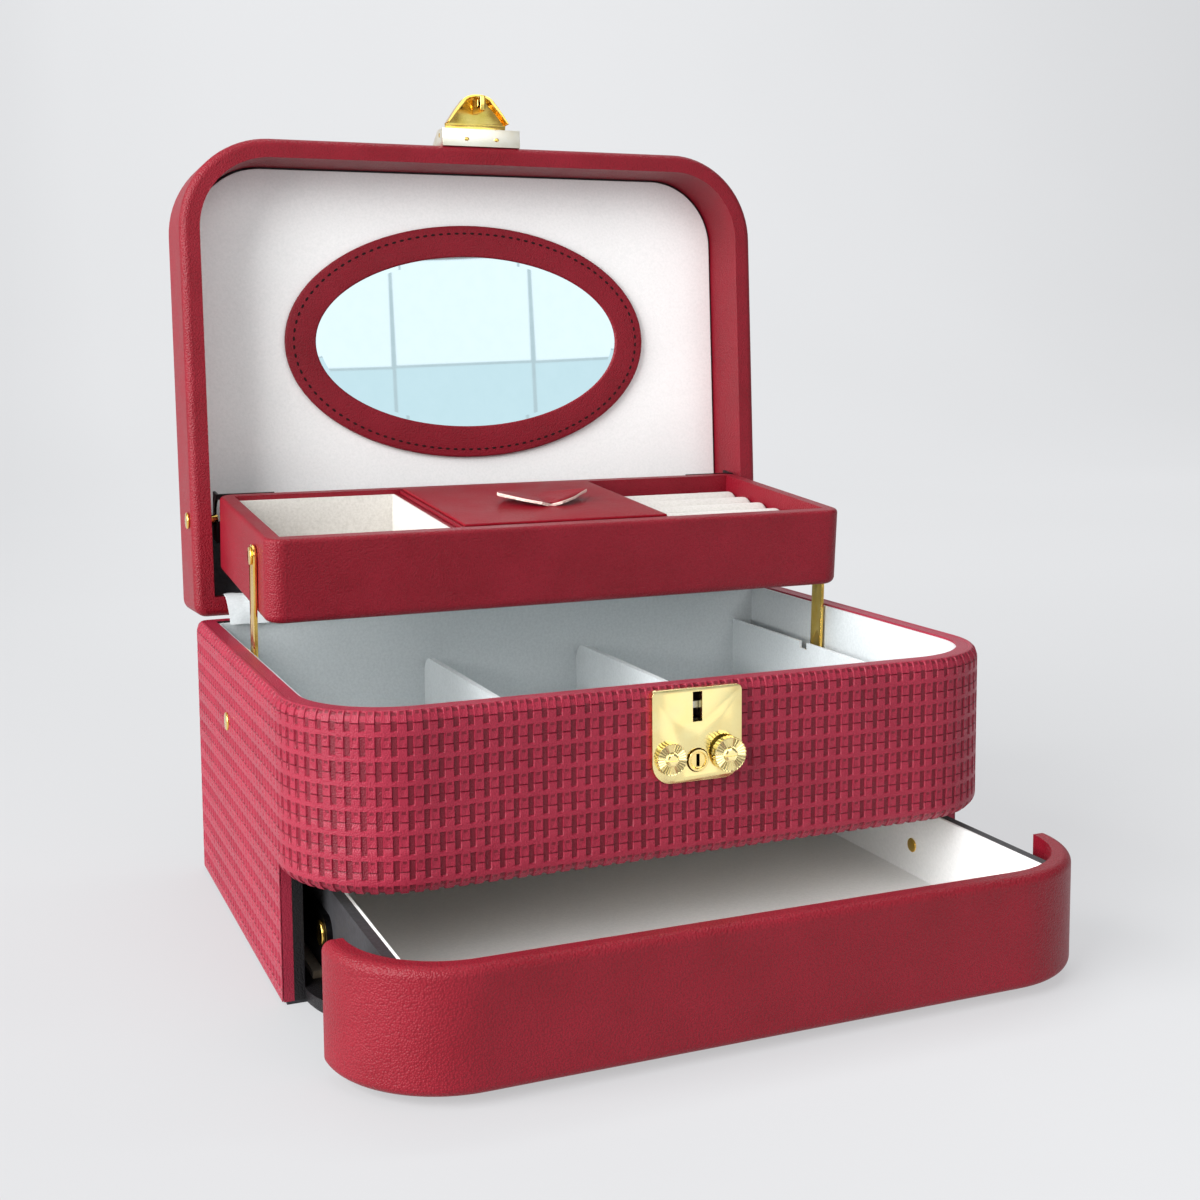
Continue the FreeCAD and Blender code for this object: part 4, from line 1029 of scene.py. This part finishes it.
# %% Lift tab
tab = cad_copy("lift_tab", "leather_lift_tab")
dissolve_flats(tab)
choose(tab, "FACE", everything)
bpy.ops.mesh.quads_convert_to_tris()
bpy.ops.mesh.subdivide(number_cuts=3)
done_editing()
shift(tab, "FACE", lambda f, p: f.normal.z > 0.9, (0, 0, 0.2))
two_tone(tab, pad_leather, cut_leather, lambda f, p: abs(f.normal.z) < 0.7)

# %% Curl the tab's lobes
low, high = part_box("lift_tab")
middle_y = (low.y + high.y) / 2
lobe_reach, lobe_depth = 17.5 * mm, 12 * mm
bulge, notch, curl, dent = 2.6 * mm, 3.2 * mm, 3.0 * mm, 0.6 * mm
for vertex in tab.data.vertices:
    out = min(abs(vertex.co.x) / lobe_reach, 1)
    front = max(middle_y - vertex.co.y, 0) / lobe_depth
    vertex.co.y -= bulge * math.sin(math.pi * out) * min(front * 3, 1)
    vertex.co.y += notch * max(1 - out / 0.22, 0) * min(front * 2, 1)
    vertex.co.z += curl * out ** 1.5 - dent * max(1 - out / 0.25, 0) * min(front * 2, 1)
    vertex.co.x *= 1.1
tab.location = (2.0 * mm, -9 * mm, -0.4 * mm)
settle(tab)
finish(tab, "cover", angle=40)
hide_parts("lift_tab")
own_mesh(tab)

# %% [markdown]
# ## Ring rolls
# Rings are pushed between soft rolls of foam, covered with the pale lining. One roll is a
# cylinder with rounded ends and a flattened underside, and an array sets six of them side by
# side.

# %% Ring rolls
roll_middle, roll_length, roll_pitch = 79.25, 66.4, 14.667
clear_selection()
bpy.ops.mesh.primitive_cylinder_add(vertices=28, radius=7.05 * mm, depth=roll_length * mm,
                                    rotation=(0, math.pi / 2, 0))
rolls = named("foam_ring_rolls")
rolls.location = (roll_middle * mm, -86.67 * mm, 17.9 * mm)
settle(rolls)
from_middle = lambda p: abs(p.x - roll_middle * mm)
bevel_edges(rolls, 1.6, 3,
            lambda e, p: abs(from_middle(p) - roll_length / 2 * mm) < 0.01 * mm)
choose(rolls, "VERT", lambda v, p: p.z < 14 * mm)
bpy.ops.transform.resize(value=(1, 1, 0.02), center_override=(0, 0, 11.0 * mm))
bpy.ops.transform.translate(value=(0, 0, -5.6 * mm))
done_editing()
repeat(rolls, 6, (0, roll_pitch * mm, 0))
posed(rolls, tray_pose)
# The rolls take the cream copy of the lining, partly cream and partly painted shade.
finish(rolls, "tray", cream_shaded_lining, angle=50)
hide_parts("ring_rolls")

# %% [markdown]
# ## Padded lid top
# The lid's top is a board with a thin pad under smooth leather, drawn tight at the edges. The CAD
# panel already has the crown, but with hard steps. A copy is remeshed into small even faces, and
# a smoothing pass melts the steps into one swelling surface.

# %% Padded lid top
lid_pad = cad_copy("lid_top_panel", "padded_lid_top")
modify(lid_pad, "REMESH", mode="VOXEL", voxel_size=2.2 * mm)
modify(lid_pad, "SMOOTH", factor=0.5, iterations=8)
outward(lid_pad)
finish(lid_pad, "lid", smooth_leather, angle=60)
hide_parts("lid_top_panel")

# %% [markdown]
# ## Hinge cloth
# A strip of the lining cloth runs from the base's back wall to the lid and hides the metal hinge.
# It is soft, so it is creased while the lid stands open. A grid is laid across the gap and a
# displacement gives it its creases.

# %% Hinge cloth
clear_selection()
bpy.ops.mesh.primitive_grid_add(x_subdivisions=120, y_subdivisions=12, size=1)
cloth_strip = named("hinge_cloth")
start_point = Vector((0, 87.6, 101.2)) * mm
end_point = Vector((0, 105.0, 111.2)) * mm
run = end_point - start_point
cloth_strip.scale = (236 * mm, run.length, 1)
cloth_strip.rotation_euler = (math.atan2(run.z, run.y), 0, 0)
cloth_strip.location = (start_point + end_point) / 2
settle(cloth_strip)
upward = Vector((0, -run.z, run.y)).normalized()
arch = 4.2 * mm
for vertex in cloth_strip.data.vertices:
    along = (vertex.co - start_point).dot(run) / run.length_squared
    if 0 < along < 1:
        vertex.co += upward * arch * math.sin(math.pi * along) ** 0.8
creases = bpy.data.textures.new("creases", "CLOUDS")
creases.noise_scale = 0.011
modify(cloth_strip, "DISPLACE", texture=creases, texture_coords="LOCAL", strength=2.0 * mm,
       mid_level=0.5, direction="NORMAL")
modify(cloth_strip, "SOLIDIFY", thickness=0.4 * mm, offset=0)
outward(cloth_strip)
soften(cloth_strip, 60)
# The cloth takes the darker cool copy of the lining, which is painted shade.
cloth_strip.data.materials.append(cool_shaded_lining)
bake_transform(cloth_strip)
print("hinge cloth is", round(run.length / mm, 1), "mm from base to lid")

# %% [markdown]
# ## Floor, light and world
# The case stands on a plain pale floor that curves up behind it. A large soft light stands on the
# left and above, weaker ones fill from the front and the top, and one lights the backdrop. A
# group of plain panes behind the camera is what the mirror shows, and a small card of light low
# in front brightens the lock.

# %% Floor
floor_front, floor_back, floor_width = -6.0, 2.7, 8
clear_selection()
bpy.ops.mesh.primitive_plane_add(size=1, location=(0, (floor_front + floor_back) / 2, 0))
floor = named("studio_floor")
floor.scale = (floor_width, floor_back - floor_front, 1)
settle(floor)
choose(floor, "EDGE", lambda e, p: p.y > floor_back - 0.1)
bpy.ops.mesh.extrude_region_move(TRANSFORM_OT_translate={"value": (0, 0, 3)})
done_editing()
round_edges(floor, 1200, 24, 60)
print("floor runs from y =", floor_front, "to", floor_back)

# %% Floor finish
floor_material, tree, shader = new_material(
    "pale studio floor", Roughness=0.75, Specular_IOR_Level=0.2,
    Emission_Color=(0.97, 0.98, 1.0, 1), Emission_Strength=0.47)
mottle = pattern(tree, "ShaderNodeTexNoise", Scale=1.2, Detail=2).outputs["Fac"]
pale = ramp(tree, mottle, [(0.3, (0.235, 0.237, 0.24)), (0.7, (0.25, 0.252, 0.256))])
# Painted shade: the floor darkens towards the left, to 55 percent of its colour at x = -0.55 m.
leftward = pattern(tree, "ShaderNodeSeparateXYZ").outputs["X"]
span = {"From Min": -0.55, "From Max": 0.05, "To Min": 0.55, "To Max": 1.0}
left_painted_shade = add_node(tree, "ShaderNodeMapRange", **span)
tree.links.new(leftward, left_painted_shade.inputs["Value"])
shaded = blend_colours(tree, "MULTIPLY", 1.0, pale, left_painted_shade.outputs["Result"])
tree.links.new(shaded, shader.inputs["Base Color"])
floor.data.materials.append(floor_material)
soften(floor, 60)
print("floor finish:", floor_material.name)

# %% Light
def soft_light(name, place, target, size, power, colour=(1, 1, 1)):
    data = bpy.data.lights.new(name, "AREA")
    data.shape = "RECTANGLE"
    data.size = size[0]
    data.size_y = size[1]
    data.energy = power
    data.color = colour
    light = bpy.data.objects.new(name, data)
    bpy.context.scene.collection.objects.link(light)
    light.location = place
    light.rotation_euler = (Vector(target) - Vector(place)).to_track_quat("-Z", "Y").to_euler()
    return light


soft_light("left_softbox", (-1.6, -0.45, 0.85), (0, 0, 0.1), (1.7, 1.5), 72)
soft_light("front_softbox", (0.5, -2.1, 1.3), (0, 0, 0.15), (1.8, 1.2), 14)
soft_light("top_softbox", (0.1, 0.2, 2.0), (0, 0.05, 0.1), (1.6, 1.4), 8)
soft_light("backdrop_light", (1.1, 1.1, 2.4), (1.5, 2.7, 0.6), (2.4, 0.8), 46)

# %% Window panes
def power_of(brightness, size):
    """Power at which an area light of this size looks this bright."""
    return brightness * math.pi * size[0] * size[1]


mirror_at = (0, 0.12, 0.21)
window_right = Vector((0.947, 0.322, 0))
window_middle = Vector((0.64, -1.77, 0.42)) - window_right * 0.02
sky = (0.93, 0.98, 1.0)
haze_blue = (0.58, 0.91, 1.0)
pane_rows = ((-0.04, 0.20, sky, 0.42), (-0.26, -0.045, haze_blue, 0.22))
for across in (-0.232, 0.0, 0.232):
    for low, high, tint, brightness in pane_rows:
        size = (0.226, high - low)
        place = window_middle + window_right * across + Vector((0, 0, (low + high) / 2))
        soft_light("window_pane", place, mirror_at, size, power_of(brightness, size), tint)
glow_size = (0.70, 0.46)
glow_place = window_middle - Vector((0, 0, 0.03))
soft_light("window_glow", glow_place, mirror_at, glow_size, power_of(0.42, glow_size), haze_blue)
print("window panes face", mirror_at)

# %% Reflector and world
card_size = (0.14, 0.12)
reflector = soft_light("low_reflector", (0.13, -0.37, 0.015), (0, -0.1, 0.085), card_size,
                       power_of(0.35, card_size), (1.0, 0.97, 0.92))
reflector.visible_camera = False
world = bpy.data.worlds.new("studio")
bpy.context.scene.world = world
world.use_nodes = True
background = world.node_tree.nodes["Background"]
background.inputs["Color"].default_value = (0.95, 0.97, 1.0, 1)
background.inputs["Strength"].default_value = 0.28
bpy.context.scene.view_settings.view_transform = "Standard"
